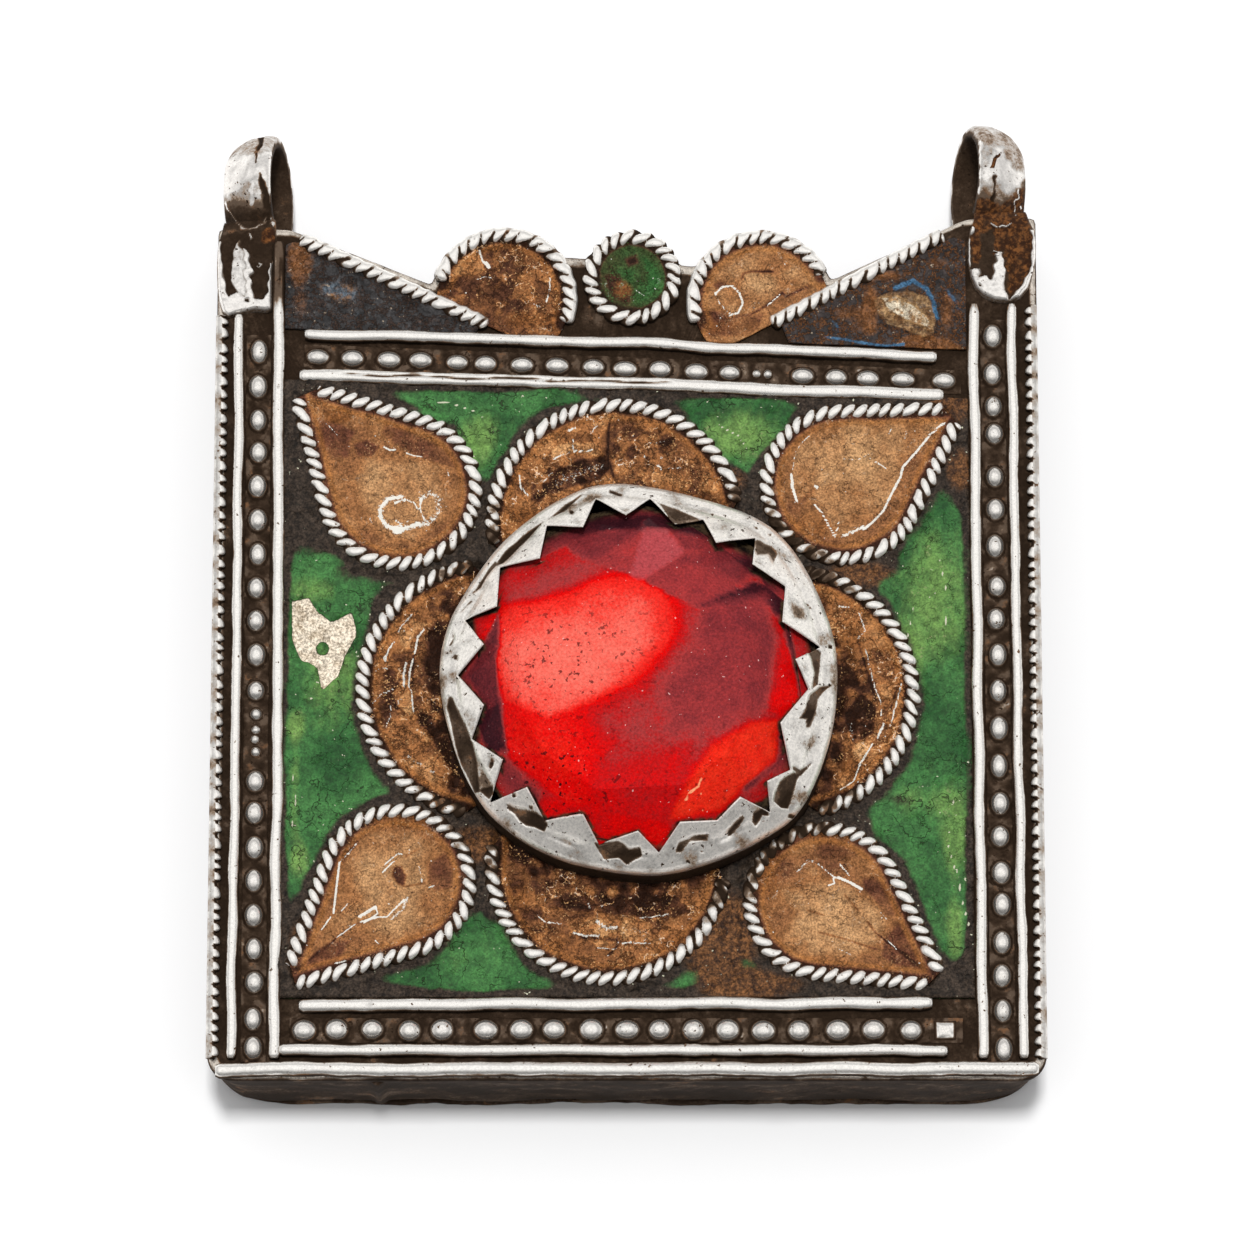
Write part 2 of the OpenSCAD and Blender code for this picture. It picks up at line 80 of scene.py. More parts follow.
class Paint:
    """One procedural material. Each method adds a node and returns what comes out of it."""

    def __init__(self, name):
        self.material = bpy.data.materials.new(name)
        self.material.use_nodes = True
        self.tree = self.material.node_tree
        self.surface = self.tree.nodes["Principled BSDF"]
        self.spot = Value(self, self.node("ShaderNodeTexCoord"), "Object")

    def node(self, kind, **settings):
        made = self.tree.nodes.new(kind)
        for key, value in settings.items():
            setattr(made, key, value)
        return made

    def feed(self, socket, value):
        if isinstance(value, Value):
            self.tree.links.new(value.socket, socket)
        else:
            socket.default_value = value

    def math(self, what, *values, clamp=False):
        made = self.node("ShaderNodeMath", operation=what, use_clamp=clamp)
        for socket, value in zip(made.inputs, values):
            self.feed(socket, value)
        return Value(self, made)

    def field(self, name):
        return Value(self, self.node("ShaderNodeAttribute", attribute_name=name), "Fac")

    def noise(self, size, detail=3.0, rough=0.55, stretch=(1, 1, 1), shift=0.0):
        spot = self.spot
        if stretch != (1, 1, 1) or shift:
            moved = self.node("ShaderNodeMapping")
            self.feed(moved.inputs["Vector"], spot)
            moved.inputs["Scale"].default_value = stretch
            moved.inputs["Location"].default_value = (shift, shift, shift)
            spot = Value(self, moved)
        made = self.node("ShaderNodeTexNoise")
        self.feed(made.inputs["Vector"], spot)
        self.feed(made.inputs["Scale"], 1 / (size * MM))
        self.feed(made.inputs["Detail"], detail)
        self.feed(made.inputs["Roughness"], rough)
        return Value(self, made, "Fac")

    def cracks(self, size, width, shift):
        """Thin wandering lines where a noise passes its middle value, broken here and there."""
        off = self.math("ABSOLUTE", self.noise(size, 4, 0.6, shift=shift) - 0.5)
        broken = self.ease(self.noise(size * 0.7, 1, shift=shift + 3), 0.46, 0.54)
        return self.ease(off, width, width * 0.3) * broken

    def ease(self, value, low, high):
        """0 below low, 1 above high, and smooth between them. Low may be above high."""
        made = self.node("ShaderNodeMapRange", interpolation_type="SMOOTHSTEP")
        self.feed(made.inputs["Value"], value)
        self.feed(made.inputs["From Min"], low)
        self.feed(made.inputs["From Max"], high)
        return Value(self, made, "Result")

    def ramp(self, value, *stops):
        made = self.node("ShaderNodeValToRGB")
        self.feed(made.inputs[0], value)
        marks = made.color_ramp.elements
        while len(marks) < len(stops):
            marks.new(0.5)
        for mark, (place, colour) in zip(marks, stops):
            mark.position = place
            mark.color = (*colour, 1)
        return Value(self, made)

    def mix(self, share, a, b, how="MIX"):
        made = self.node("ShaderNodeMix", data_type="RGBA", blend_type=how)
        self.feed(made.inputs["Factor"], share)
        for socket, value in ((made.inputs[6], a), (made.inputs[7], b)):
            self.feed(socket, (*value, 1) if isinstance(value, tuple) else value)
        return Value(self, made, 2)

    def mottle(self, colour, size, low, high, shift=0.0):
        """The colour darkened by low and lightened by high in grains of a size."""
        grains = self.ease(self.noise(size, 3, 0.7, shift=shift), 0.36, 0.64)
        return self.mix(1.0, colour, self.math("MULTIPLY_ADD", grains, high - low, low), "MULTIPLY")

    def bump(self, height, depth):
        made = self.node("ShaderNodeBump")
        made.inputs["Distance"].default_value = depth * MM
        self.feed(made.inputs["Height"], height)
        return Value(self, made)

    def use(self, **values):
        for key, value in values.items():
            socket = self.surface.inputs[key.replace("_", " ")]
            self.feed(socket, (*value, 1) if isinstance(value, tuple) else value)
        return self.material


floor_paint = Paint("white_floor")
floor_paint.use(Base_Color=(0.90, 0.90, 0.90), Roughness=1.0, Specular_IOR_Level=0.0)
bpy.ops.mesh.primitive_plane_add(size=3, location=(0, 0, -0.00005))
floor = bpy.context.object
floor.name = "floor"
floor.data.materials.append(floor_paint.material)

world = bpy.data.worlds.new("sky")
world.use_nodes = True
bpy.context.scene.world = world
sky = world.node_tree
direction = sky.nodes.new("ShaderNodeTexCoord").outputs["Generated"]
split = sky.nodes.new("ShaderNodeSeparateXYZ")
sky.links.new(direction, split.inputs[0])
fade = sky.nodes.new("ShaderNodeValToRGB")
sky.links.new(split.outputs["Z"], fade.inputs[0])
for place, level in ((0.25, 0.80), (0.50, 0.46), (0.70, 0.52), (0.84, 0.98)):
    fade.color_ramp.elements.new(place).color = (level, level, level * 1.01, 1)
fade.color_ramp.elements[0].color = (0.95, 0.95, 0.95, 1)
fade.color_ramp.elements[-1].color = (1.0, 1.0, 1.0, 1)
near_side = sky.nodes.new("ShaderNodeMapRange")
sky.links.new(split.outputs["Y"], near_side.inputs["Value"])
near_side.inputs["From Min"].default_value = -0.62
near_side.inputs["From Max"].default_value = -0.10
near_side.inputs["To Min"].default_value = 0.25
sky.links.new(near_side.outputs["Result"], sky.nodes["Background"].inputs["Strength"])
sky.links.new(fade.outputs[0], sky.nodes["Background"].inputs["Color"])

lamp = bpy.data.lights.new("lamp", "AREA")
lamp.shape = "RECTANGLE"
lamp.size = 0.20
lamp.size_y = 0.27
lamp.energy = 27
lamp_object = bpy.data.objects.new("lamp", lamp)
lamp_object.location = (0, 0.135, 2)
lamp_object.visible_glossy = False
bpy.context.scene.collection.objects.link(lamp_object)

eye = bpy.data.objects.new("camera", bpy.data.cameras.new("camera"))
eye.data.lens = 206.7
eye.data.clip_start = 0.01
eye.location = put((0, -80.115, 445.13))
aim = Vector(put((0, 28.75, 8.5))) - eye.location
eye.rotation_euler = aim.to_track_quat("-Z", "Y").to_euler()
bpy.context.scene.collection.objects.link(eye)
bpy.context.scene.camera = eye
bpy.context.scene.view_settings.view_transform = "Standard"

# Case: front plate with a rolled lip, side strip and back plate, all of tarnished silver. The
# plates are hammered sheet soldered to the strip, so each is slightly uneven.
FACE = 8.5
CASE_SIDE = (0.62, 7.88)


def waves(spots, size, seed):
    """Smooth unevenness: sum of sin(k.p + a) over random directions, |k| about 2 pi / size."""
    spots = np.asarray(spots, float)
    if spots.ndim == 1:
        spots = spots[:, None]
    count = 36
    draw = np.random.default_rng(seed)
    way = draw.normal(size=(count, spots.shape[-1]))
    way /= np.linalg.norm(way, axis=1, keepdims=True)
    way *= 2 * np.pi / size * draw.uniform(0.6, 1.5, (count, 1))
    return np.sin(spots @ way.T + draw.uniform(0, 2 * np.pi, count)).sum(-1) / np.sqrt(count / 2)


def ease(value, low, high):
    """0 below low, 1 above high, and 3 t^2 - 2 t^3 between them."""
    t = np.clip((value - low) / (high - low), 0, 1)
    return t * t * (3 - 2 * t)


def add_mesh(name, spots, quads, caps, paint, fields, slot, *nodes, flat=False):
    """A closed mesh in place of CAD nodes: quads are rows of four corners, caps longer faces."""
    mesh = bpy.data.meshes.new(name)
    quads = np.asarray(quads).reshape(-1, 4)
    sizes = np.concatenate([np.full(len(quads), 4), [len(c) for c in caps]]).astype(int)
    corners = np.concatenate([quads.ravel(), *[np.asarray(c) for c in caps]]).astype(int)
    mesh.vertices.add(len(spots))
    mesh.vertices.foreach_set("co", put(spots).astype(np.float32).ravel())
    mesh.loops.add(len(corners))
    mesh.loops.foreach_set("vertex_index", corners)
    mesh.polygons.add(len(sizes))
    mesh.polygons.foreach_set("loop_start", np.cumsum(sizes) - sizes)
    mesh.update(calc_edges=True)
    for key, values in fields.items():
        kept = mesh.attributes.new(key, "FLOAT", "POINT")
        kept.data.foreach_set("value", np.asarray(values, np.float32).ravel())
    mesh.polygons.foreach_set("use_smooth", np.full(len(sizes), not flat))
    mesh.materials.append(paint.material)
    piece = bpy.data.objects.new(name, mesh)
    bpy.context.scene.collection.objects.link(piece)
    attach(piece, "root")
    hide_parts(*nodes)
    return piece


def sheet_quads(rows, columns, wrap_rows=False, wrap_columns=False):
    """Corners of the faces between neighbours in a grid of points, row by row."""
    r = np.arange(rows if wrap_rows else rows - 1)
    c = np.arange(columns if wrap_columns else columns - 1)
    r, c = np.meshgrid(r, c, indexing="ij")
    here, below = r * columns, (r + 1) % rows * columns
    right = (c + 1) % columns
    return np.stack([here + c, here + right, below + right, below + c], -1).reshape(-1, 4)


def silver(name, tint=(0.95, 0.91, 0.85), shine=0.26, pits=0.5, grain=0.10, metal=0.85):
    """Worn silver: the field "wear" runs from black-brown dirt (0) through tan to polish (1), and on the
    bezel, beads and bails it also carries painted shade and highlights; the field "rust" stains it
    orange-brown."""
    p = Paint(name)
    worn = (p.noise(0.9, 4, 0.6) - 0.5) * 0.36
    fine = (p.noise(0.20, 3, 0.7, shift=0.003) - 0.5) * (3 * grain)
    level = p.field("wear") + (worn + fine)
    pit = p.ease(p.noise(0.36, 2, 0.7, shift=0.007), 0.65, 0.72) * pits
    level = level - pit
    tan = (0.33 * tint[0], 0.245 * tint[1], 0.18 * tint[2])
    soft = tuple(0.72 * t for t in tint)
    colour = p.ramp(level, (0.08, (0.025, 0.015, 0.009)), (0.34, (0.062, 0.039, 0.025)), (0.50, tan),
                    (0.62, soft), (0.74, tint))
    rusty = p.ease(p.noise(1.3, 4, 0.7, shift=0.011), 0.52, 0.66)
    rusty = p.mix(rusty, (0.105, 0.072, 0.050), (0.17, 0.085, 0.042))
    middle = p.ease(level, 0.24, 0.38) * p.ease(level, 0.54, 0.42)
    colour = p.mix(middle, colour, rusty)
    stain = p.field("rust") + p.noise(0.7, 5, 0.75, shift=0.013) * 0.9
    stain = p.ease(stain, 0.85, 1.30) * p.ease(level, 0.66, 0.44)
    orange = p.ease(p.noise(0.35, 4, 0.7, shift=0.017), 0.42, 0.68)
    orange = p.mix(orange, (0.035, 0.015, 0.008), (0.21, 0.082, 0.026))
    colour = p.mix(stain, colour, orange)
    colour = p.mottle(colour, 0.16, 1 - 1.5 * grain, 1 + 0.5 * grain, 0.005)
    clean = p.ease(level, 0.42, 0.62)
    rough = p.mix(clean, (0.75, 0.75, 0.75), (shine, shine, shine))
    height = p.noise(0.13, 3, 0.65) + pit * -2.5
    p.use(Base_Color=colour, Metallic=clean * metal, Roughness=rough,
          Normal=p.bump(height, 0.10 * grain), Specular_IOR_Level=0.06)
    return p


case_paint = silver("tarnished_case", tint=(0.74, 0.66, 0.57), grain=0.14)
centre = np.array([0.0, 25.0])
crest_discs = [(-7.79, 50.00, 4.70), (8.45, 49.77, 4.75), (0.32, 51.37, 3.15)]
body = np.array([
    (-25.9, 1.6), (-25.78, 0.99), (-25.43, 0.47), (-24.91, 0.12), (-24.3, 0.0), (24.3, 0.0),
    (24.91, 0.12), (25.43, 0.47), (25.78, 0.99), (25.9, 1.6), (25.9, 55.5), (21.6, 55.5), (12.9, 51.4),
    (4.6, 52.3), (-4.4, 52.95), (-12.36, 51.1), (-21.5, 54.8), (-25.9, 54.8)])
around = 1000
turn = np.linspace(-np.pi, np.pi, around, endpoint=False)
ways = np.stack([np.cos(turn), np.sin(turn)], 1)


def spread(radius):
    """Points at a distance from the centre in each direction round it."""
    return centre[0] + radius * ways[:, 0], centre[1] + radius * ways[:, 1]


def reach(ways):
    """How far the outline lies from the centre in each direction."""
    far = np.zeros(len(ways))
    for a, b in zip(body, np.roll(body, -1, 0)):
        side, off = b - a, a - centre
        cross = ways[:, 0] * side[1] - ways[:, 1] * side[0]
        along = (off[0] * side[1] - off[1] * side[0]) / cross
        share = (off[0] * ways[:, 1] - off[1] * ways[:, 0]) / cross
        far = np.maximum(far, np.where((share >= 0) & (share <= 1) & (along > 0), along, 0))
    for x, y, r in crest_discs:
        off = np.array([x, y]) - centre
        along = ways @ off
        inside = r * r - (off @ off - along ** 2)
        far = np.maximum(far, np.where(inside > 0, along + np.sqrt(np.maximum(inside, 0)), 0))
    return far


outer = reach(ways)
outer = (np.roll(outer, 1) + 2 * outer + np.roll(outer, -1)) / 4
insets = np.array([0, 0, 0.03, 0.09, 0.18, 0.3, *np.arange(0.42, 2.2, 0.16), *np.arange(2.4, 8.1, 0.4),
                   10, 14, 18])
lip = 0.3
drop = np.where(insets < lip, lip - np.sqrt(np.maximum(lip ** 2 - (lip - insets) ** 2, 0)), 0)
radius = outer[None] - insets[:, None]
x, y = spread(radius)
z = FACE - np.broadcast_to(drop[:, None], x.shape).copy()
z[0] = FACE - 0.6
flat_xy = np.stack([x, y], -1)
band = ease(insets, 0.02, 0.2) * (1 - ease(insets, 0.5, 0.75))
band = band[:, None] * np.ones_like(x)
z[1:] += (0.03 * waves(flat_xy, 7, 1) + 0.02 * waves(flat_xy, 1.6, 2) + 0.012 * waves(flat_xy, 0.6, 3))[1:]
z += 0.05 * band
wear = 0.10 + 0.62 * band + 0.07 * waves(flat_xy, 3, 4) + 0.05 * waves(flat_xy, 0.8, 5)
wear[0] = 0.25
spots = np.stack([x, y, z], -1)[::-1].reshape(-1, 3)
quads = sheet_quads(len(insets), around, wrap_columns=True)
ring = np.arange(around)
add_mesh("front_sheet", spots, quads[:, ::-1], [ring, (len(insets) - 1) * around + ring[::-1]],
         case_paint, {"wear": wear[::-1]}, "case_silver", "front_plate")

rise = np.array([CASE_SIDE[0], 0.75, 1.0, *np.arange(1.4, 7.6, 0.4), 7.7, CASE_SIDE[1]])
tuck = np.interp(rise, [CASE_SIDE[0], 0.9, 4, 7.6, CASE_SIDE[1]], [0.25, 0.12, 0.2, 0.1, 0.16])
corner = np.exp(-((np.abs(turn + np.pi / 2) - 0.80) / 0.05) ** 2)
radius = outer[None] - tuck[:, None] - 0.7 * corner * (1 - rise[:, None] / 8)
x, y = spread(radius)
side_spots = np.stack([x, y, np.broadcast_to(rise[:, None], x.shape)], -1)
dent = 0.06 * waves(side_spots, 9, 6) + 0.02 * waves(side_spots, 2.4, 7) + 0.008 * waves(side_spots, 0.9, 8)
seam = np.exp(-((x + 15.4) / 0.35) ** 2) * (y < 2)
side_spots[..., 0] += dent * ways[:, 0]
side_spots[..., 1] += dent * ways[:, 1] - 0.35 * seam
inner = spread(outer - 1.1)
inner = np.stack([np.column_stack([*inner, np.full(around, level)]) for level in CASE_SIDE[::-1]])
side_wear = 0.17 + 0.08 * waves(side_spots * [0.4, 0.4, 1], 2, 9) + 0.05 * waves(side_spots, 0.8, 10)
side_wear = np.concatenate([side_wear, np.zeros((2, around))])
side_spots = np.concatenate([side_spots, inner])
add_mesh("side_strip", side_spots.reshape(-1, 3),
         sheet_quads(len(side_spots), around, wrap_rows=True, wrap_columns=True), [],
         case_paint, {"wear": side_wear}, "case_silver", "side_wall")

back_in = np.array([0.3, 0.1, 0.0, 0.0, 0.1])
back_z = np.array([0.0, 0.06, 0.2, 0.45, 0.6])
radius = outer[None] - back_in[:, None] - 0.9 * corner - 0.03 * np.abs(waves(turn * 25, 2.5, 11))
x, y = spread(radius)
spots = np.stack([x, y, np.broadcast_to(back_z[:, None], x.shape)], -1)
spots[1:4, :, 1] += 0.05 * waves(spots[1:4], 3.5, 12)
back_wear = 0.26 + 0.08 * waves(spots, 3, 13)
add_mesh("back_sheet", spots.reshape(-1, 3), sheet_quads(5, around, wrap_columns=True),
         [ring[::-1], 4 * around + ring], case_paint, {"wear": back_wear}, "case_silver", "back_plate")

# Plain wires: drawn silver wire soldered along the sides and across, flattened a little by wear
# and dented, with blunt ends.
SEAT = FACE + 0.04
wire_paint = silver("worn_wire", tint=(0.98, 0.945, 0.89), pits=0.45, grain=0.06)


def resample(path, step):
    """Evenly spaced points along a path, their direction and how far along each lies."""
    path = np.asarray(path, float)
    run = np.concatenate([[0], np.cumsum(np.linalg.norm(np.diff(path, axis=0), axis=1))])
    count = max(2, int(round(run[-1] / step)) + 1)
    s = np.linspace(0, run[-1], count)
    spots = np.stack([np.interp(s, run, path[:, k]) for k in (0, 1)], 1)
    way = np.gradient(spots, axis=0)
    way /= np.linalg.norm(way, axis=1, keepdims=True)
    return s, spots, way


def tube(name, path, step, section, z, paint, slot, node, closed=False, grime=None):
    """Carries a section along a path. section(s) gives side, up and wear round the path."""
    s, mid, way = resample(path, step)
    if closed:
        s, mid = s[:-1], mid[:-1]
        way = np.roll(mid, -1, 0) - np.roll(mid, 1, 0)
        way /= np.linalg.norm(way, axis=1, keepdims=True)
    left = np.stack([-way[:, 1], way[:, 0]], 1)
    side, up, wear = section(s)
    spots = np.stack([mid[:, 0, None] + side * left[:, 0, None], mid[:, 1, None] + side * left[:, 1, None],
                      z + up], -1)
    if grime is not None:
        wear = wear - grime(spots[..., 0], spots[..., 1])
    rows, columns = side.shape
    ends = [] if closed else [np.arange(columns)[::-1], (rows - 1) * columns + np.arange(columns)]
    quads = sheet_quads(rows, columns, wrap_rows=closed, wrap_columns=True)
    return add_mesh(name, spots.reshape(-1, 3), quads[:, ::-1], [e[::-1] for e in ends], paint,
                    {"wear": wear}, slot, node)


def plain_section(half_width, half_height, seed, split=None):
    """Superellipse |u/a|^2.4 + |v/b|^2.4 = 1, dented along the wire and drawn in at its ends.
    A split wire has a dark groove along its top between two places."""
    def section(s):
        a = np.linspace(0, 2 * np.pi, 24, endpoint=False)
        cut = np.abs(np.cos(a)) ** 2.4 + np.abs(np.sin(a)) ** 2.4
        u, v = np.cos(a) / cut ** (1 / 2.4), np.sin(a) / cut ** (1 / 2.4)
        dent = 1 + 0.030 * waves(s, 3.2, seed) + 0.014 * waves(s, 0.9, seed + 1)
        end = np.minimum(s, s[-1] - s) / 0.12
        dent *= np.where(end < 1, 0.72 + 0.28 * np.sqrt(1 - (1 - np.minimum(end, 1)) ** 2), 1)
        drift = 0.03 * waves(s, 9, seed + 2)
        side = drift[:, None] + half_width * dent[:, None] * u
        lift = 0.9 + 0.1 * dent
        up = half_height * lift[:, None] * v
        both = np.stack([np.broadcast_to(s[:, None], side.shape), 3 * side, 3 * up], -1)
        streak = np.stack([np.broadcast_to(0.3 * s[:, None], side.shape), 9 * side], -1)
        wear = 0.14 + 0.76 * ease(v, 0.30, 0.97)
        wear = wear + 0.06 * waves(both, 1.6, seed + 3) + 0.05 * waves(streak, 1.2, seed + 6)
        if split:
            open_part = ease(s, split[0], split[0] + 1.5) * (1 - ease(s, split[1] - 1.5, split[1]))
            place = 0.18 + 0.12 * waves(s, 6, seed + 4)
            groove = open_part[:, None] * np.exp(-((u - place[:, None]) / 0.16) ** 2) * (v > 0)
            up = up - 0.14 * groove
            wear = wear - 0.75 * groove
        return side, up, wear
    return section


plain_wires = [
    ("left_outer_wire", [(-24.4, 1.3), (-24.34, 20), (-24.36, 30), (-24.47, 48.9)], 0.34, 21),
    ("left_inner_wire", [(-21.76, 1.3), (-21.72, 20), (-21.8, 30), (-22.03, 53.7)], 0.38, 25),
    ("right_inner_wire", [(21.92, 1.3), (21.86, 25), (21.86, 49.6)], 0.37, 29),
    ("right_outer_wire", [(24.43, 1.3), (24.32, 25), (24.25, 49.6)], 0.34, 33),
    ("top_upper_wire", [(-20.3, 47.68), (-8, 47.33), (1, 47.05), (8.5, 46.67), (19.5, 46.17)], 0.38, 37),
    ("top_lower_wire", [(-20.6, 45.0), (-8, 44.6), (1, 44.4), (8.5, 44.05), (19.9, 43.66)], 0.44, 41),
    ("bottom_upper_wire", [(-20.2, 4.58), (-10, 4.66), (18.8, 4.74)], 0.42, 45),
    ("bottom_lower_wire", [(-21.4, 1.8), (19.7, 1.78)], 0.38, 49),
    ("bottom_edge_wire", [(-25.3, 0.56), (25.3, 0.6)], 0.46, 53)]
for node, path, half, seed in plain_wires:
    tall = 0.48 if node == "bottom_edge_wire" else 0.36
    split = (2, 24) if node == "top_lower_wire" else None
    tube(node.replace("wire", "bar"), path, 0.25, plain_section(half, tall, seed, split=split), SEAT + tall,
         wire_paint, "wire_silver", node, grime=lambda x, y: 0.55 * ease(y, 48.6, 50.2) * (np.abs(x) > 20))

# Twisted wires: two thin silver wires wound round each other, soldered down round every cell,
# their tops worn bright and dirt in the grooves. Those along the left and right edges are worn
# down to a scalloped strip.
RIM = np.array([0.70, 24.35])
BEZEL_R = 12.2
rope_paint = silver("twisted_wire_silver", tint=(0.97, 0.935, 0.88), pits=0.3, shine=0.28, grain=0.06,
                    metal=0.75)


def arc(row, a0=None, a1=None):
    """Points on a circle (x, y, r, first angle, last angle), in degrees."""
    x, y, r = row[:3]
    a0, a1 = (row[3], row[4]) if a0 is None else (a0, a1)
    a = np.radians(np.linspace(a0, a1, 90))
    return np.stack([x + r * np.cos(a), y + r * np.sin(a)], 1)


def teardrop(row):
    """From one open end round the circle to the other, anticlockwise."""
    x, y, r, *tips = row
    angles = []
    for tip, way in zip(tips, (1, -1)):
        off = np.array(tip) - (x, y)
        angles.append(np.degrees(np.arctan2(off[1], off[0]) + way * np.arccos(r / np.hypot(*off))))
    sweep = (angles[1] - angles[0]) % 360
    return np.concatenate([[tips[0]], arc((x, y, r), angles[0], angles[0] + sweep), [tips[1]]])


def from_middle(x, y):
    """Distance from the middle of the stone."""
    return np.hypot(x - RIM[0], y - RIM[1])


def near_rim(x, y):
    """Dirt that gathers on the wires towards the bezel."""
    away = from_middle(x, y) - BEZEL_R
    return (1 - ease(away, 0.9, 4.0)) * (0.62 + 0.22 * waves(np.stack([x, y], -1), 0.9, 60))


def twisted_section(r, lead, seed, smooth=None, blunt=True):
    """r(a) = R (0.42 + 0.58 |cos(a - b)|^0.55), where b falls by 2 pi in each lead: it turns left.
    Each turn is polished in an oval on top. smooth is (1 or -1, share) where the left or right flank
    is one even strip beyond that share. A blunt wire is drawn in at its ends."""
    def section(s):
        a = np.linspace(0, 2 * np.pi, 18, endpoint=False)
        b = -2 * np.pi * s / lead + 0.35 * waves(s, 5, seed) + 0.15 * waves(s, 1.5, seed + 1)
        phase = (a - b[:, None] + np.pi / 2) % np.pi - np.pi / 2
        size = r * (1 + 0.05 * waves(s, 1.1, seed + 2))[:, None]
        if blunt:
            end = np.minimum(np.minimum(s, s[-1] - s) / 0.3, 1)[:, None]
            size *= 0.35 + 0.65 * np.sqrt(1 - (1 - end) ** 2)
        rad = size * (0.42 + 0.58 * np.abs(np.cos(phase)) ** 0.55)
        if smooth:
            filed = ease(smooth[0] * np.cos(a), smooth[1], smooth[1] + 0.3)
            rad = rad + (0.95 * size - rad) * filed
        side, up = 1.08 * rad * np.cos(a), rad * np.sin(a)
        up = up - 0.55 * np.maximum(up - 0.72 * r, 0)
        lean = (a - np.pi / 2 + np.pi) % (2 * np.pi) - np.pi
        oval = np.hypot(phase / 1.12, lean / 1.12)
        wear = 0.03 + 0.90 * ease(-oval, -1.30, -0.98)
        if smooth:
            wear = np.maximum(wear, 0.66 * filed * ease(up / r, -0.5, 0.2))
        wear += 0.09 * waves(s, 1.6, seed + 3)[:, None]
        return side, up, wear
    return section


def scalloped_section(outer, inner, tall, pitch, seed):
    """A strip with a scalloped inner edge: reach = 0.3 + 0.7 e(w, 0, .2) (1 - 0.9 e(w, .3, 1)), where w
    runs from 0 to 1 along each pitch. outer and inner are its widths, signed, from the path."""
    def section(s):
        a = np.linspace(0, 2 * np.pi, 20, endpoint=False) * np.sign(inner)
        w = (s / pitch + 0.10 * waves(s, 4, seed)) % 1
        reach = 0.30 + 0.70 * ease(w, 0, 0.2) * (1 - 0.9 * ease(w, 0.3, 1))
        u, v = np.cos(a), np.sin(a)
        inside = ease(u, -0.1, 0.1)
        wide = outer + (inner * reach[:, None] - outer) * inside
        side = np.abs(u) * wide
        rough = (1 + 0.05 * waves(s, 0.9, seed + 1))[:, None]
        up = tall * v * (0.85 + 0.15 * inside * reach[:, None]) * rough
        bright = 0.98 * ease(reach, 0.45, 0.75)[:, None] * ease(v, 0.05, 0.5)
        slit = np.exp(-((w[:, None] - 0.97 + 0.25 * u) / 0.07) ** 2) * ease(u, -0.45, -0.1)
        wear = (0.60 + 0.04 * waves(s, 2, seed + 2)[:, None]) * ease(v, -0.4, 0.2)
        wear = wear + (bright - wear) * ease(u, 0.0, 0.3) - 0.35 * slit
        return side, up, wear
    return section


tears = {
    "upper_left": (-14.28, 37.44, 4.75, (-20.75, 43.45), (-19.5, 44.0)),
    "upper_right": (13.52, 37.79, 4.78, (19.9, 42.72), (20.7, 41.85)),
    "lower_left": (-14.25, 12.37, 4.5, (-20.45, 5.91), (-20.8, 7.04)),
    "lower_right": (12.19, 11.13, 4.6, (19.3, 6.65), (18.55, 5.9)),
}
lobes = {
    "top": (-0.74, 35.29, 7.7, 10, 190),
    "left": (-8.49, 24.64, 8.0, 98, 259),
    "right": (9.98, 24.43, 7.8, -76, 84),
    "bottom": (-1.19, 13.46, 7.2, 170, 353),
}
roundels = {"left": (-7.79, 50.00, 4.20, -22, 164), "right": (8.45, 49.77, 4.25, 25, 198)}
crest_ring = (0.32, 51.37, 2.65, 0, 360)
crest_lines = {"left": [(-20.70, 53.92), (-8.80, 48.27)], "right": [(20.00, 54.20), (9.10, 48.35)]}
rope_paths = [("tear_rope_" + k, teardrop(v)) for k, v in tears.items()]
rope_paths += [("lobe_rope_" + k, arc(v)) for k, v in lobes.items()]
rope_paths += [("roundel_rope_" + k, arc(v)) for k, v in roundels.items()]
rope_paths += [("crest_rope_" + k, np.array(v)) for k, v in crest_lines.items()]
rope_paths += [("crest_ring_rope", arc(crest_ring))]
filed_sides = {
    "roundel_rope_left": -1,
    "roundel_rope_right": -1,
    "crest_rope_left": 1,
    "crest_rope_right": -1,
}
for i, (node, path) in enumerate(rope_paths):
    smooth = (filed_sides[node], 0.25) if node in filed_sides else None
    closed = node == "crest_ring_rope"
    section = twisted_section(0.47, 1.62, 70 + 5 * i, smooth=smooth, blunt=not closed)
    tube(node.replace("rope", "twist"), path, 0.095, section, SEAT + 0.42, rope_paint, "wire_silver", node,
         closed=closed, grime=near_rim)
for node, x, top, way in (("edge_rope_left", -25.55, 48.9, 1), ("edge_rope_right", 25.50, 49.6, -1)):
    section = scalloped_section(way * 0.38, -way * 0.42, 0.30, 0.78, int(top))
    tube(node.replace("rope", "twist"), [(x, 1.3), (x, top)], 0.09, section, SEAT + 0.28, rope_paint,
         "wire_silver", node)

# Beaded wires: rounded beads on a low rail between the plain wires, each bead standing in a
# shallow dish, dirty and with painted shade round its foot.
bead_paint = silver("beaded_wire_silver", pits=0.55, shine=0.22, grain=0.09, metal=0.90)


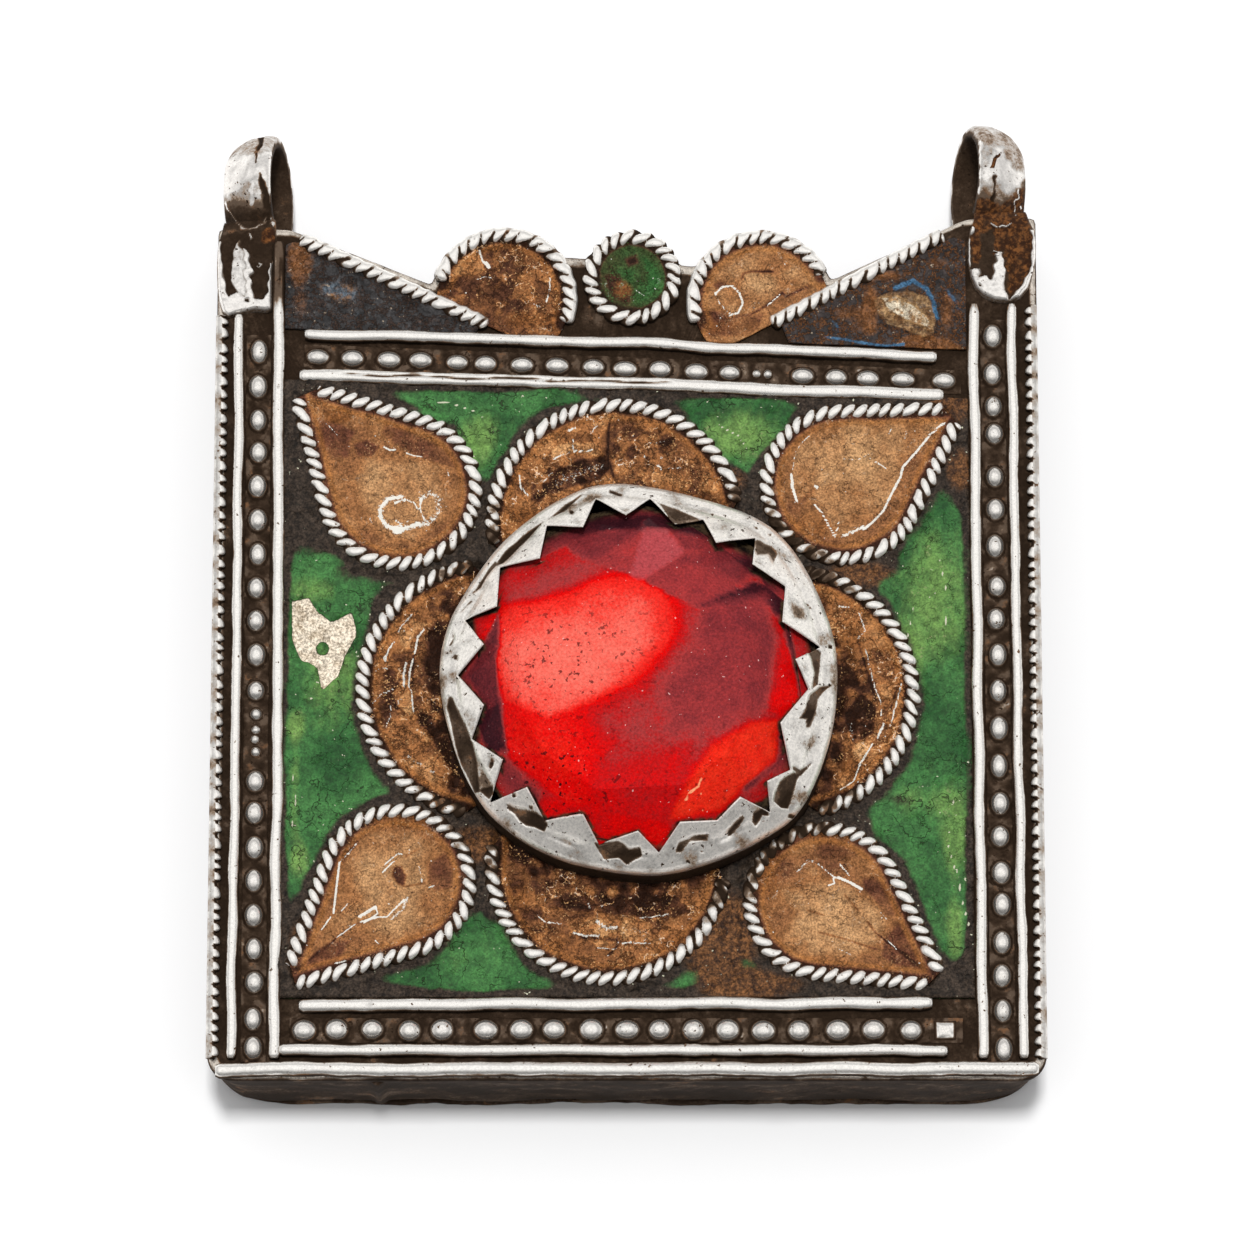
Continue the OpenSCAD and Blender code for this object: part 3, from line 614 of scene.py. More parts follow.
def skirted(x, y, z, bottom, wrapped=False):
    """A grid of points closed by its sides and a flat bottom. A wrapped grid is made of rings."""
    index = np.arange(x.size).reshape(x.shape)
    quads = sheet_quads(*x.shape, wrap_columns=wrapped)
    if wrapped:
        quads, caps, edge = quads[:, ::-1], [index[0]], index[-1]
    else:
        caps, edge = [], np.concatenate([index[0, :-1], index[:-1, -1], index[-1, :0:-1], index[:0:-1, 0]])
    spots = np.stack([x, y, z], -1).reshape(-1, 3)
    low = spots[edge].copy()
    low[:, 2] = bottom
    under = x.size + np.arange(len(edge))
    skirt = np.stack([edge, under, np.roll(under, -1), np.roll(edge, -1)], 1)
    return np.concatenate([spots, low]), np.concatenate([quads, skirt]), caps + [under[::-1]]


def with_skirt(spots, **fields):
    """Fields given on a grid, with 0 on the points of the skirt below it."""
    return {k: np.concatenate([v.ravel(), np.zeros(len(spots) - v.size)]) for k, v in fields.items()}


def slab(x0, x1, y0, y1, step, top, bottom):
    """A rectangle with a top z(x, y), closed by its sides and a flat bottom."""
    xs = np.linspace(x0, x1, int(round((x1 - x0) / step)) + 1)
    ys = np.linspace(y0, y1, int(round((y1 - y0) / step)) + 1)
    x, y = np.meshgrid(xs, ys)
    return x, y, *skirted(x, y, top(x, y), bottom)


bead_rows = {
    "left_bead_row": (
        (-23.03, 2.0), (-23.22, 46.6), 0.46,
        [2.0, 3.8, 6.1, 8.2, 10.3, 12.5, 14.6, 16.8, 18.8, 20.7, 21.5, 22.1, 23.1, 24.6, 26.9, 29.1, 31.2,
         33.4, 35.6, 37.8, 40.0, 42.1, 44.3, 46.6]),
    "right_bead_row": (
        (23.19, 1.9), (23.05, 47.6), 0.47,
        [1.9, 4.3, 6.5, 8.6, 11.0, 13.0, 15.3, 17.4, 19.8, 22.2, 24.6, 26.9, 29.2, 31.3, 33.9, 36.3, 38.4,
         41.2, 43.0, 45.1, 47.6]),
    "top_bead_row": (
        (-19.47, 46.3), (20.02, 44.66), 0.42,
        [-19.5, -17.3, -15.0, -13.0, -10.7, -8.9, -6.6, -4.4, -2.1, -0.1, 2.1, 4.4, 6.5, 8.2, 8.9, 11.1,
         13.2, 15.2, 17.4, 20.0]),
    "bottom_bead_row": (
        (-19.9, 3.1), (19.6, 3.1), 0.56,
        [-19.9, -17.9, -15.7, -13.4, -11.4, -8.7, -6.5, -4.5, -2.2, 0.0, 2.0, 4.1, 6.2, 8.4, 10.6, 13.0,
         15.2, 17.5, 19.6]),
}
for seed, (node, (start, stop, half, places)) in enumerate(bead_rows.items()):
    start, stop = np.array(start), np.array(stop)
    upright = abs(stop[1] - start[1]) > abs(stop[0] - start[0])
    places = np.array(places) - (start[1] if upright else start[0])
    draw = np.random.default_rng(200 + seed)
    gaps = np.minimum(np.diff(places, prepend=-3), np.diff(places, append=places[-1] + 3))
    long = np.clip(gaps * 0.43, 0.3, 0.80) * draw.uniform(0.92, 1.06, len(places))
    wide = np.clip(long, 0.3, half + 0.16) * draw.uniform(0.92, 1.05, len(places))
    off = draw.uniform(-0.05, 0.05, len(places))
    tall = np.clip(wide * 0.95, 0.30, 0.60) * draw.uniform(0.9, 1.05, len(places))
    square = np.zeros(len(places), bool)
    if node == "bottom_bead_row":
        square[-1] = True

    def beads(u, v):
        """Height and wear, u along the row and v across it: a dome t (1 - d^2.3)^0.6 on each bead's
        oval, and a curved rail between them."""
        flat = np.stack([u, v], -1)
        h = 0.12 * np.sqrt(np.clip(1 - (v / 0.86) ** 2, 0, 1)) + 0.02 * waves(flat, 0.7, seed) + 0.03
        shine = 0.24 + 0.09 * waves(flat, 1.2, 210 + seed)
        for at, l, w, o, t, flat_patch in zip(places, long, wide, off, tall, square):
            if flat_patch:
                d = np.maximum(np.abs(u - at) / 0.60, np.abs(v) / 0.55)
                t = 0.24
            else:
                d = np.sqrt(((u - at) / l) ** 2 + ((v - o) / w) ** 2)
            h = h - 0.10 * np.exp(-((d - 1.20) / 0.14) ** 2)
            dome = t * np.clip(1 - d ** 2.3, 0, 1) ** 0.6
            h = np.maximum(h, dome)
            # Each bead's wear is bright on top and darker to its edge (wear and painted shade), and darkest
            # in a ring at its foot (painted shade with dirt).
            shine = np.where(d < 1.12, 0.06 + 0.86 * ease(-d, -1.04, -0.70), shine)
        return h, shine

    length = places[-1] + 1.1
    u, v, spots, quads, caps = slab(-0.9, length, -0.78, 0.78, 0.08, lambda u, v: SEAT + beads(u, v)[0],
                                    SEAT - 0.1)
    shine = beads(u, v)[1] + 0.03 * waves(np.stack([u, v], -1), 0.5, 220 + seed)
    fields = with_skirt(spots, wear=shine)
    way = (stop - start) / np.linalg.norm(stop - start)
    across = np.array([-way[1], way[0]])
    spots = np.column_stack([start + spots[:, :1] * way + spots[:, 1:2] * across, spots[:, 2]])
    add_mesh(node.replace("row", "strip"), spots, quads, caps, bead_paint, fields, "beaded_silver", node)

# Green ground: cracked enamel between the cells, thick against the wires, chipped on the left and
# covered in places by a dark crust.


def gap_to(x, y, points):
    """Distance from each (x, y) to the nearest of the points."""
    flat = np.stack([np.ravel(x), np.ravel(y)], 1)
    best = np.full(len(flat), 1e9)
    for low in range(0, len(flat), 20000):
        part = flat[low:low + 20000]
        off = part[:, None, :] - points[None]
        best[low:low + 20000] = np.sqrt((off ** 2).sum(-1).min(1))
    return best.reshape(np.shape(x))


def within(x, y, loop):
    """Whether each (x, y) lies inside a closed loop of points."""
    hits = np.zeros(np.shape(x), bool)
    for (ax, ay), (bx, by) in zip(loop, np.roll(loop, -1, 0)):
        if ay != by:
            hits ^= ((ay > y) != (by > y)) & (x < (bx - ax) * (y - ay) / (by - ay) + ax)
    return hits


def from_line(x, y, line):
    """Distance from each (x, y) to the nearest straight stretch of a line of points."""
    away = np.full(np.shape(x), 1e9)
    for a, b in zip(line[:-1], line[1:]):
        side = b - a
        t = np.clip(((x - a[0]) * side[0] + (y - a[1]) * side[1]) / (side @ side), 0, 1)
        away = np.minimum(away, np.hypot(x - a[0] - t * side[0], y - a[1] - t * side[1]))
    return away


def inside_by(x, y, corners):
    """How far each (x, y) lies inside a closed loop of points, below 0 outside it."""
    corners = np.array(corners)
    away = from_line(x, y, np.concatenate([corners, corners[:1]]))
    return np.where(within(x, y, corners), away, -away)


def patch(x, y, soft, corners):
    """1 inside a closed loop of points, easing to 0 over a soft edge."""
    return ease(inside_by(x, y, corners), -soft / 2, soft / 2)


def layered(x, y, base, rows):
    """A base value with closed loops laid over it one after another: rows of (soft edge, value,
    corners)."""
    level = base + 0 * x
    for soft, value, corners in rows:
        level = level + (value - level) * patch(x, y, soft, corners)
    return level


def strokes(x, y, rows):
    """Sum of strength exp(-(d / half width)^2), where d is the distance from a row's line: rows of
    (half width, strength, points)."""
    total = np.zeros(np.shape(x))
    for wide, strength, line in rows:
        total += strength * np.exp(-(from_line(x, y, np.array(line)) / wide) ** 2)
    return total


def blobs(x, y, rows):
    """Sum of strength exp(-d^3), where d is 1 on a row's ellipse (x, y, x radius, y radius, strength)."""
    total = np.zeros(np.shape(x))
    for cx, cy, rx, ry, strength in rows:
        total += strength * np.exp(-(((x - cx) / rx) ** 2 + ((y - cy) / ry) ** 2) ** 1.5)
    return total


def green_enamel():
    """Fields: "crust" hides the green, "lit" lightens it, "bare" shows the pale bed, "rust", and "line"
    paints highlights along raised edges.
    """
    p = Paint("green_enamel")
    thick = p.ease(p.noise(3.2, 3, 0.5), 0.32, 0.68)
    green = p.mix(thick, (0.016, 0.080, 0.018), (0.048, 0.165, 0.042))
    streaks = p.noise(0.9, 5, 0.65, stretch=(1.0, 0.45, 1.0), shift=0.002)
    lit = p.field("lit") * 0.75 + streaks * 0.75
    green = p.mix(p.ease(lit, 0.40, 1.0), green, (0.140, 0.265, 0.062))
    green = p.mottle(p.mottle(green, 0.14, 0.72, 1.22, 0.005), 0.5, 0.72, 1.18, 0.013)
    fleck = p.ease(p.noise(0.45, 3, 0.7, shift=0.007), 0.60, 0.70) * p.ease(lit, 0.5, 0.8)
    green = p.mix(fleck * 0.6, green, (0.26, 0.31, 0.13))
    crack = p.math("MAXIMUM", p.cracks(3.4, 0.006, 0.011), p.cracks(1.5, 0.010, 0.023) * 0.45)
    green = p.mix(crack * 0.75, green, (0.018, 0.022, 0.010))
    gloom = p.ease(p.noise(1.5, 5, 0.75, shift=0.031), 0.56, 0.74) * 0.65
    green = p.mix(gloom, green, (0.018, 0.040, 0.014))
    bed = p.mix(p.ease(p.noise(0.6, 4, 0.8), 0.3, 0.6), (0.42, 0.32, 0.21), (0.84, 0.73, 0.58))
    bed = p.mottle(bed, 0.15, 0.55, 1.20)
    wobble = p.noise(1.0, 5, 0.7, shift=0.009) - 0.5
    edge = p.field("bare") + wobble * 0.7
    bare = p.ease(edge, 0.47, 0.53)
    colour = p.mix(bare, green, bed)
    brim = p.ease(edge, 0.40, 0.47) * p.ease(edge, 0.56, 0.50)
    colour = p.mix(brim * 0.8, colour, (0.030, 0.028, 0.014))
    soot = p.ease(p.noise(0.45, 5, 0.75, shift=0.004), 0.3, 0.75)
    soot = p.mix(soot, (0.010, 0.007, 0.005), (0.060, 0.042, 0.030))
    rust = p.ease(p.noise(0.40, 4, 0.75, shift=0.006), 0.35, 0.7)
    rust = p.mix(rust, (0.030, 0.014, 0.008), (0.20, 0.085, 0.030))
    soot = p.mottle(p.mix(p.ease(p.field("rust"), 0.25, 0.8), soot, rust), 0.15, 0.55, 1.6, 0.010)
    ragged = p.noise(1.1, 5, 0.65, shift=0.008) - 0.5
    crust = p.ease(p.field("crust") + ragged * 0.8, 0.32, 0.72)
    colour = p.mix(crust, colour, soot)
    spot_noise = p.ease(p.noise(0.26, 1, 0.5, shift=0.012), 0.73, 0.78)
    glint = spot_noise * p.ease(p.noise(2.0, 1, shift=0.001), 0.46, 0.56)
    # Pale lines along raised edges: painted highlights, with the spot glints.
    line = p.ease(p.field("line") + p.noise(0.25, 2) * 0.5, 0.75, 0.95)
    colour = p.mix(p.math("MAXIMUM", glint, line), colour, (0.55, 0.54, 0.40))
    rough = p.mix(p.math("MAXIMUM", crust, bare), (0.22, 0.22, 0.22), (0.50, 0.50, 0.50))
    height = crack * -1.4 + p.noise(0.7, 3, 0.5) * 0.8
    height = height + p.noise(0.18, 3, 0.7) * (crust * 0.9)
    p.use(Base_Color=colour, Roughness=rough, Normal=p.bump(height, 0.05), Specular_IOR_Level=0.25)
    return p


ground_paint = green_enamel()
rope_points = np.concatenate([resample(path, 0.2)[1] for node, path in rope_paths[:8]])
ground_low, ground_high = 5.1, 44.7


def ground_top(x):
    """Upper edge of the ground, which falls to the right along the wires above it."""
    return ground_high + (43.45 - ground_high) * (x + 21.4) / 42.7


x, y, spots, quads, caps = slab(-21.6, 21.45, ground_low, ground_high, 0.17, lambda x, y: 0 * x,
                                   SEAT - 0.06)
tall = ground_top(spots[:, 0]) - ground_low
spots[:, 1] = ground_low + (spots[:, 1] - ground_low) * tall / (ground_high - ground_low)
y = spots[:x.size, 1].reshape(x.shape)
from_rope = gap_to(x, y, rope_points)
from_wire = np.minimum.reduce([x + 21.55, 21.4 - x, y - ground_low, ground_top(x) - y])
from_bezel = from_middle(x, y) - BEZEL_R
covered = np.zeros(x.shape, bool)
for row in tears.values():
    covered |= within(x, y, teardrop(row))
for cx, cy, r, *_ in lobes.values():
    covered |= np.hypot(x - cx, y - cy) < r
covered |= from_bezel < 0
flat = np.stack([x, y], -1)
crust = 0.95 * np.exp(-((np.maximum(from_rope - 0.45, 0)) / 0.75) ** 2)
crust += 0.9 * np.exp(-(np.maximum(from_wire - 0.2, 0) / 0.45) ** 2)
crust += 0.9 * (1 - ease(from_bezel, 0.8, 3.6))
crust += blobs(x, y, [
    (-20.57, 42.39, 1.6, 1.4, 1.2), (-20.72, 38.81, 1.1, 3.6, 1.2), (-19.74, 35.24, 1.6, 2.0, 1.0),
    (-17.64, 32.0, 1.5, 0.8, 0.5), (-9.09, 35.56, 1.0, 2.4, 0.9), (-9.23, 38.48, 0.8, 0.9, -0.7),
    (7.41, 38.29, 1.3, 1.0, 0.2), (7.83, 35.56, 1.2, 1.8, 1.0), (18.13, 43.37, 3.0, 0.5, 0.9),
    (19.67, 40.11, 1.5, 0.8, 0.4), (20.58, 37.51, 0.8, 1.6, 0.6), (15.83, 32.33, 2.4, 1.0, 0.8),
    (-15.13, 30.39, 1.2, 1.4, 0.5), (-11.6, 15.68, 2.2, 1.3, 0.9), (-14.4, 16.95, 1.6, 0.9, 0.5),
    (-8.6, 12.51, 0.9, 2.4, 0.9), (-20.21, 9.35, 1.0, 1.6, 0.9), (-19.56, 6.52, 1.6, 0.7, 1.0),
    (-16.47, 5.58, 3.4, 0.6, 1.1), (5.75, 9.35, 1.9, 3.4, 1.2), (7.28, 5.89, 3.0, 1.0, 1.1),
    (-1.66, 4.95, 3.0, 0.6, 0.7), (17.14, 5.58, 3.6, 0.6, 1.0), (13.52, 16.31, 1.9, 1.0, 0.7),
    (20.85, 6.52, 0.8, 1.2, 1.0), (17.26, 17.58, 1.4, 0.5, 0.5), (-11.45, 43.37, 2.4, 0.5, -0.5),
    (-4.22, 43.57, 3.2, 0.6, -0.7), (-12.39, 42.26, 2.4, 0.6, -0.6), (-9.24, 40.44, 1.8, 1.6, -0.8),
    (7.11, 41.74, 3.2, 1.6, -0.9), (6.79, 40.11, 1.4, 1.2, -0.6), (-19.1, 21.41, 2.4, 4.6, -0.7),
    (-18.54, 27.81, 2.4, 3.0, -0.7), (-19.97, 15.68, 1.2, 2.2, -0.6), (18.94, 30.39, 2.6, 5.6, -0.6),
    (19.77, 20.13, 1.8, 5.2, -0.6), (16.93, 15.68, 1.8, 1.2, -0.7), (19.67, 11.25, 1.2, 3.4, -0.6),
    (-9.08, 8.09, 2.2, 2.4, -0.8)])
crust = np.clip(crust, 0, 1.2)
lit = blobs(x, y, [
    (-9.36, 40.76, 1.3, 1.8, 0.7), (7.1, 41.09, 2.6, 1.6, 0.7), (-18.2, 25.25, 2.0, 3.0, 0.5),
    (-20.6, 22.4, 0.6, 1.0, 0.8), (-18.75, 17.58, 2.2, 1.6, -0.4), (19.25, 30.39, 2.2, 4.6, 0.6),
    (17.34, 26.53, 1.0, 2.2, 0.5), (18.19, 17.58, 2.0, 1.0, 0.4), (20.34, 15.68, 1.0, 3.0, 0.6),
    (20.27, 9.35, 0.6, 2.2, 0.7), (-19.82, 31.03, 1.6, 0.9, 0.5), (-9.69, 7.46, 2.2, 1.2, 0.1),
    (-20.6, 17.58, 0.4, 3.4, 0.5), (-20.26, 13.78, 0.6, 1.2, 0.7)])
bare = patch(x, y, 0.5, [
    (-20.94, 30.39), (-19.88, 30.52), (-19.3, 29.62), (-18.49, 28.97), (-17.18, 29.62), (-16.86, 28.2),
    (-17.59, 26.85), (-18.02, 25.5), (-19.0, 24.6), (-19.33, 26.02), (-20.33, 26.53), (-20.91, 27.81)])
bare -= blobs(x, y, [(-19.03, 27.30, 0.5, 0.5, 0.9), (-20.02, 26.02, 0.5, 0.4, 0.6)])
rust = blobs(x, y, [
    (5.74, 8.72, 2.4, 3.4, 1.1), (8.2, 5.89, 3.0, 1.0, 0.8), (-9.11, 14.73, 2.4, 1.4, 0.8),
    (14.58, 32.0, 2.6, 1.0, 0.8), (20.33, 43.37, 1.6, 2.0, 0.8), (-20.19, 8.09, 1.0, 2.4, 0.6),
    (6.78, 38.16, 1.0, 1.0, 0.6), (20.91, 38.81, 1.0, 1.6, 0.8)])
# Painted highlights along raised edges of the green. They also lift it a little.
line = strokes(x, y, [
    (0.05, 1.0, [(20.43, 13.14), (20.72, 11.25), (21.2, 9.35)]),
    (0.05, 0.9, [(19.89, 14.73), (20.31, 13.14)]),
    (0.06, 0.9, [(-12.71, 43.37), (-11.14, 43.18), (-9.25, 42.52)]),
    (0.05, 0.8, [(-20.27, 14.73), (-20.37, 13.14)]), (0.05, 0.8, [(20.18, 17.9), (20.41, 16.63)]),
    (0.07, 0.9, [(5.72, 41.74), (6.98, 41.02), (7.6, 40.11)]),
    (0.05, 0.9, [(19.59, 32.97), (20.06, 30.39), (19.79, 27.81)]),
    (0.05, 0.8, [(18.0, 30.39), (17.35, 27.17)]),
    (0.05, 0.8, [(-20.82, 19.49), (-20.55, 17.58), (-20.89, 15.04)])])
beside_rope = np.maximum(from_rope - 0.45, 0)
low = 0.30 + 0.16 * np.exp(-(from_wire / 0.5) ** 2) + 0.14 * np.exp(-(beside_rope / 0.4) ** 2)
low += 0.05 * waves(flat, 5, 301) + 0.03 * waves(flat, 1.6, 302) + 0.018 * waves(flat, 0.6, 303)
low += 0.05 * ease(crust, 0.3, 0.9) * waves(flat, 0.9, 304) - 0.20 * ease(bare, 0.40, 0.55) + 0.06 * line
low = np.where(covered, 0.03, np.maximum(low, 0.05))
spots[:x.size, 2] = SEAT + low.ravel()
fields = with_skirt(spots, crust=crust, lit=lit, bare=bare, rust=rust, line=line)
add_mesh("green_ground", spots, quads, caps, ground_paint, fields, "green_enamel",
         "ground_enamel_top", "ground_enamel_left", "ground_enamel_right", "ground_enamel_bottom")

# Enamel in the cells: amber, brown, green and blue-black fillings that rise to the twisted wires
# round them. Marks, dark stains and chips lie where they do on the real piece.


def filling(name, dark, middle, light, rim, rugged=0.25):
    """Fields: "tone" dark to light, "rust", "rim" a painted highlight along the meniscus
    by the wire, and "mark" for chips, scratches and painted glints on raised edges.
    Rugged glass has flaked in layers, with creases between them."""
    p = Paint(name)
    level = p.field("tone") + p.noise(1.9, 5, 0.6) * 0.40
    level = level + p.noise(0.55, 5, 0.75, shift=0.003) * (0.20 + 0.5 * rugged)
    level = level - (0.25 * rugged)
    flakes = p.noise(2.4, 4, 0.6, shift=0.021)
    layer = p.ease(flakes, 0.47, 0.53) * rugged
    level = level + (layer - (0.5 * rugged)) * 0.45
    colour = p.ramp(level * 0.5, (0.10, tuple(0.3 * d for d in dark)), (0.20, dark), (0.43, middle),
                    (0.66, light))
    rusty = p.field("rust") + p.noise(0.9, 5, 0.7, shift=0.006) * 0.8
    colour = p.mix(p.ease(rusty, 0.55, 1.0) * 0.75, colour, (0.22, 0.080, 0.022))
    # Along the meniscus by the wire: painted highlight in the rim colour.
    colour = p.mix(p.field("rim") * 0.55, colour, rim)
    colour = p.mottle(p.mottle(colour, 0.13, 0.62, 1.32, 0.005), 0.42, 0.74, 1.20, 0.019)
    # Dark lines in the creases between flakes: painted shade.
    crease = p.math("ABSOLUTE", p.noise(1.4, 5, 0.65, shift=0.025) - 0.5)
    crease = p.ease(crease, 0.022, 0.006) * rugged
    colour = p.mix(crease * 0.9, colour, tuple(0.35 * d for d in dark))
    # Light lines along the flake edges: painted highlights.
    crest = p.math("ABSOLUTE", flakes - 0.535)
    crest = p.ease(crest, 0.010, 0.003) * p.ease(p.noise(1.1, 2, shift=0.023), 0.50, 0.58)
    colour = p.mix(crest * rugged, colour, tuple(min(1.5 * c, 1) for c in light))
    stain = p.ease(p.noise(0.26, 3, 0.7, shift=0.009), 0.61, 0.67) * 0.75
    colour = p.mix(stain, colour, tuple(0.4 * d for d in dark))
    crack = p.cracks(2.2, 0.007, 0.013) * 0.55
    colour = p.mix(crack, colour, (0.02, 0.010, 0.006))
    dots = p.noise(0.15, 2, 0.8, shift=0.015)
    mark = p.ease(p.field("mark") + dots * 1.1, 1.0, 1.15)
    # Tiny white flecks: painted glints.
    fleck = p.ease(p.noise(0.24, 1, 0.5, shift=0.017), 0.765, 0.80)
    sugar = p.ease(p.noise(0.14, 2, 0.6, shift=0.027), 0.60, 0.66)
    sugar = sugar * p.ease(p.noise(1.7, 3, shift=0.029), 0.46, 0.62)
    colour = p.mix(sugar * (0.25 + 0.6 * rugged), colour, tuple(min(1.7 * c, 1) for c in light))
    # Glints on the flake edges: painted highlights.
    shiny = crest * rugged * p.ease(dots, 0.50, 0.58)
    mark = p.math("MAXIMUM", p.math("MAXIMUM", mark, shiny), fleck * 0.8)
    colour = p.mix(mark, colour, (0.74, 0.71, 0.64))
    height = p.noise(0.8, 4, 0.6, shift=0.002) + p.noise(0.35, 5, 0.7) * (0.3 + 1.4 * rugged)
    height = height - (crack + crease) + layer * 1.2
    p.use(Base_Color=colour, Roughness=p.mix(mark, (0.30, 0.30, 0.30), (0.45, 0.45, 0.45)),
          Normal=p.bump(height, 0.08), Specular_IOR_Level=0.10)
    return p


def pool(name, grid, wrapped, wires, paint, slot, node, deep, tall, tone, rust, mark, seed, base=0.5,
         relief=0.10, cuts=()):
    """A filling on a grid of (x, y) points, which rises near the wires and is closed below."""
    x, y = grid[..., 0], grid[..., 1]
    away = gap_to(x, y, resample(wires, 0.12)[1]) - 0.42
    flat = np.stack([x, y], -1)
    z = tall - deep * ease(away, 0.0, 1.6) + 0.05 * np.exp(-((away - 0.25) / 0.14) ** 2)
    z += 0.035 * waves(flat, 2.4, seed) + 0.02 * waves(flat, 0.8, seed + 1)
    # Marks: chips and scratches, and white lines that are painted highlights on raised edges.
    lines, stains = strokes(x, y, mark), blobs(x, y, rust)
    shade = layered(x, y, base, tone)
    # Darker towards the bezel's foot: painted shade there, with dark crust.
    from_bezel = np.maximum(from_middle(x, y) - BEZEL_R - 0.1, 0)
    shade -= 0.42 * np.exp(-(from_bezel / 1.1) ** 2) * (1 + 0.5 * waves(flat, 1.3, seed + 4))
    dark_line = np.minimum(strokes(x, y, cuts), 1)
    z += 0.04 * np.minimum(lines, 1) + relief * (shade - base) - 0.06 * dark_line
    shade_by_wire = 0.60 * np.exp(-(np.maximum(away, 0) / 0.16) ** 2)
    shade += 0.05 * waves(flat, 3, seed + 2) - 0.8 * dark_line - shade_by_wire
    # A thin line by the wire where the meniscus catches light: painted highlight.
    rim = np.exp(-((away - 0.38) / 0.16) ** 2)
    spots, quads, caps = skirted(x, y, SEAT + z, SEAT - 0.05, wrapped)
    fields = with_skirt(spots, tone=shade, rust=stains, rim=rim, mark=lines)
    return add_mesh(name, spots, quads, caps, paint, fields, slot, node)


def star_grid(loop, centre, rings=41, columns=172):
    """Rings of points from a centre out to a closed loop, anticlockwise."""
    loop = resample(np.concatenate([loop, loop[:1]]), 0.1)[1]
    a = np.unwrap(np.arctan2(loop[:, 1] - centre[1], loop[:, 0] - centre[0]))
    r = np.hypot(loop[:, 0] - centre[0], loop[:, 1] - centre[1])
    order = np.argsort(a)
    turn = np.linspace(a.min(), a.min() + 2 * np.pi, columns, endpoint=False)
    far = np.interp(turn, a[order], r[order], period=2 * np.pi)
    f = np.linspace(0.02, 1, rings)[:, None]
    return np.stack([centre[0] + f * far * np.cos(turn), centre[1] + f * far * np.sin(turn)], -1)


amber = filling("amber_enamel", (0.120, 0.042, 0.022), (0.315, 0.136, 0.050), (0.500, 0.280, 0.128),
                (0.36, 0.140, 0.036), 0.18)
brown = filling("brown_enamel", (0.085, 0.032, 0.016), (0.365, 0.148, 0.050), (0.620, 0.330, 0.140),
                (0.34, 0.130, 0.036), 0.65)
green_cell = filling("green_cell_enamel", (0.070, 0.030, 0.017), (0.030, 0.090, 0.024),
                     (0.040, 0.150, 0.038), (0.045, 0.070, 0.022))
tear_looks = {}
tear_looks["upper_left"] = dict(
    base=0.52,
    tone=[
        (1.6, 0.82, [(-16.1, 39.4), (-13.9, 39.6), (-12.1, 38.7), (-11.4, 37.2), (-11.7, 35.6),
         (-13.7, 34.6), (-15.7, 34.9), (-16.7, 36.6), (-16.8, 38.4)]),
        (0.9, 0.34, [(-19.8, 42.5), (-18.5, 42), (-16.8, 39.6), (-18.3, 39.4), (-19.3, 39.8),
         (-19.6, 41.2)]),
        (0.3, 0.16, [(-19.7, 42.2), (-18, 41.8), (-17.1, 41.3), (-17.4, 40.6), (-17.5, 39.7),
         (-18.4, 39.6), (-19.1, 40.2), (-19.5, 41.2)]),
        (0.25, 0.14, [(-17.2, 40.5), (-16.3, 40.8), (-15.6, 40.4), (-16, 39.7), (-16.9, 39.7)]),
        (0.3, 0.2, [(-15.2, 41.8), (-13.8, 41.4), (-11.7, 40.3), (-10.8, 39.6), (-10.7, 38.9),
         (-11.7, 39.2), (-12.7, 39.5), (-13.9, 40.1), (-14.6, 40.5), (-15.4, 41.2)]),
        (0.8, 0.36, [(-17.6, 34.6), (-16.2, 33.8), (-14, 33.4), (-11.7, 34.1), (-10.7, 35.6),
         (-11.6, 35.1), (-13.4, 34.2), (-15.4, 34.1), (-16.9, 34.9)])],
    rust=[(-18.2, 42.3, 1.0, 0.5, 0.8), (-14.2, 33.2, 3.0, 0.5, 0.4)],
    mark=[
        (0.36, 0.5, [(-14.16, 37.08), (-14.99, 36.95), (-15.44, 36.38), (-15.48, 35.78), (-15.06, 35.17),
         (-14.39, 34.91)]), (0.3, 0.5, [(-14.39, 34.91), (-13.72, 35.05), (-13.06, 35.26)]),
        (0.4, 0.5, [(-12.9, 36.99), (-12.4, 37.25), (-11.86, 36.99), (-11.79, 36.3), (-12.14, 35.61),
         (-12.59, 35.29)]),
        (0.05, 1.0, [(-14.16, 37.08), (-14.99, 36.95), (-15.44, 36.38), (-15.48, 35.78), (-15.06, 35.17),
         (-14.39, 34.91), (-13.72, 35.05), (-13.06, 35.35)]),
        (0.05, 0.9, [(-12.9, 36.9), (-12.98, 36.3), (-12.72, 35.61)]),
        (0.05, 0.9, [(-14.57, 36.64), (-13.9, 36.87), (-13.32, 36.64), (-13.06, 36.12)]),
        (0.05, 0.8, [(-14.56, 35.61), (-14.14, 35.29), (-13.39, 35.61)]),
        (0.06, 0.66, [(-19.31, 42.29), (-18.8, 41.76), (-18.21, 41.07)]),
        (0.07, 1.0, [(-15.27, 40.32), (-14.9, 40.11), (-14.56, 40.11)]),
        (0.06, 0.8, [(-13.93, 39.94), (-13.42, 39.73), (-12.92, 39.66)]),
        (0.06, 0.7, [(-11.32, 38.81), (-11.15, 38.38)]), (0.07, 0.7, [(-16.1, 35.61), (-15.98, 35.35)])])
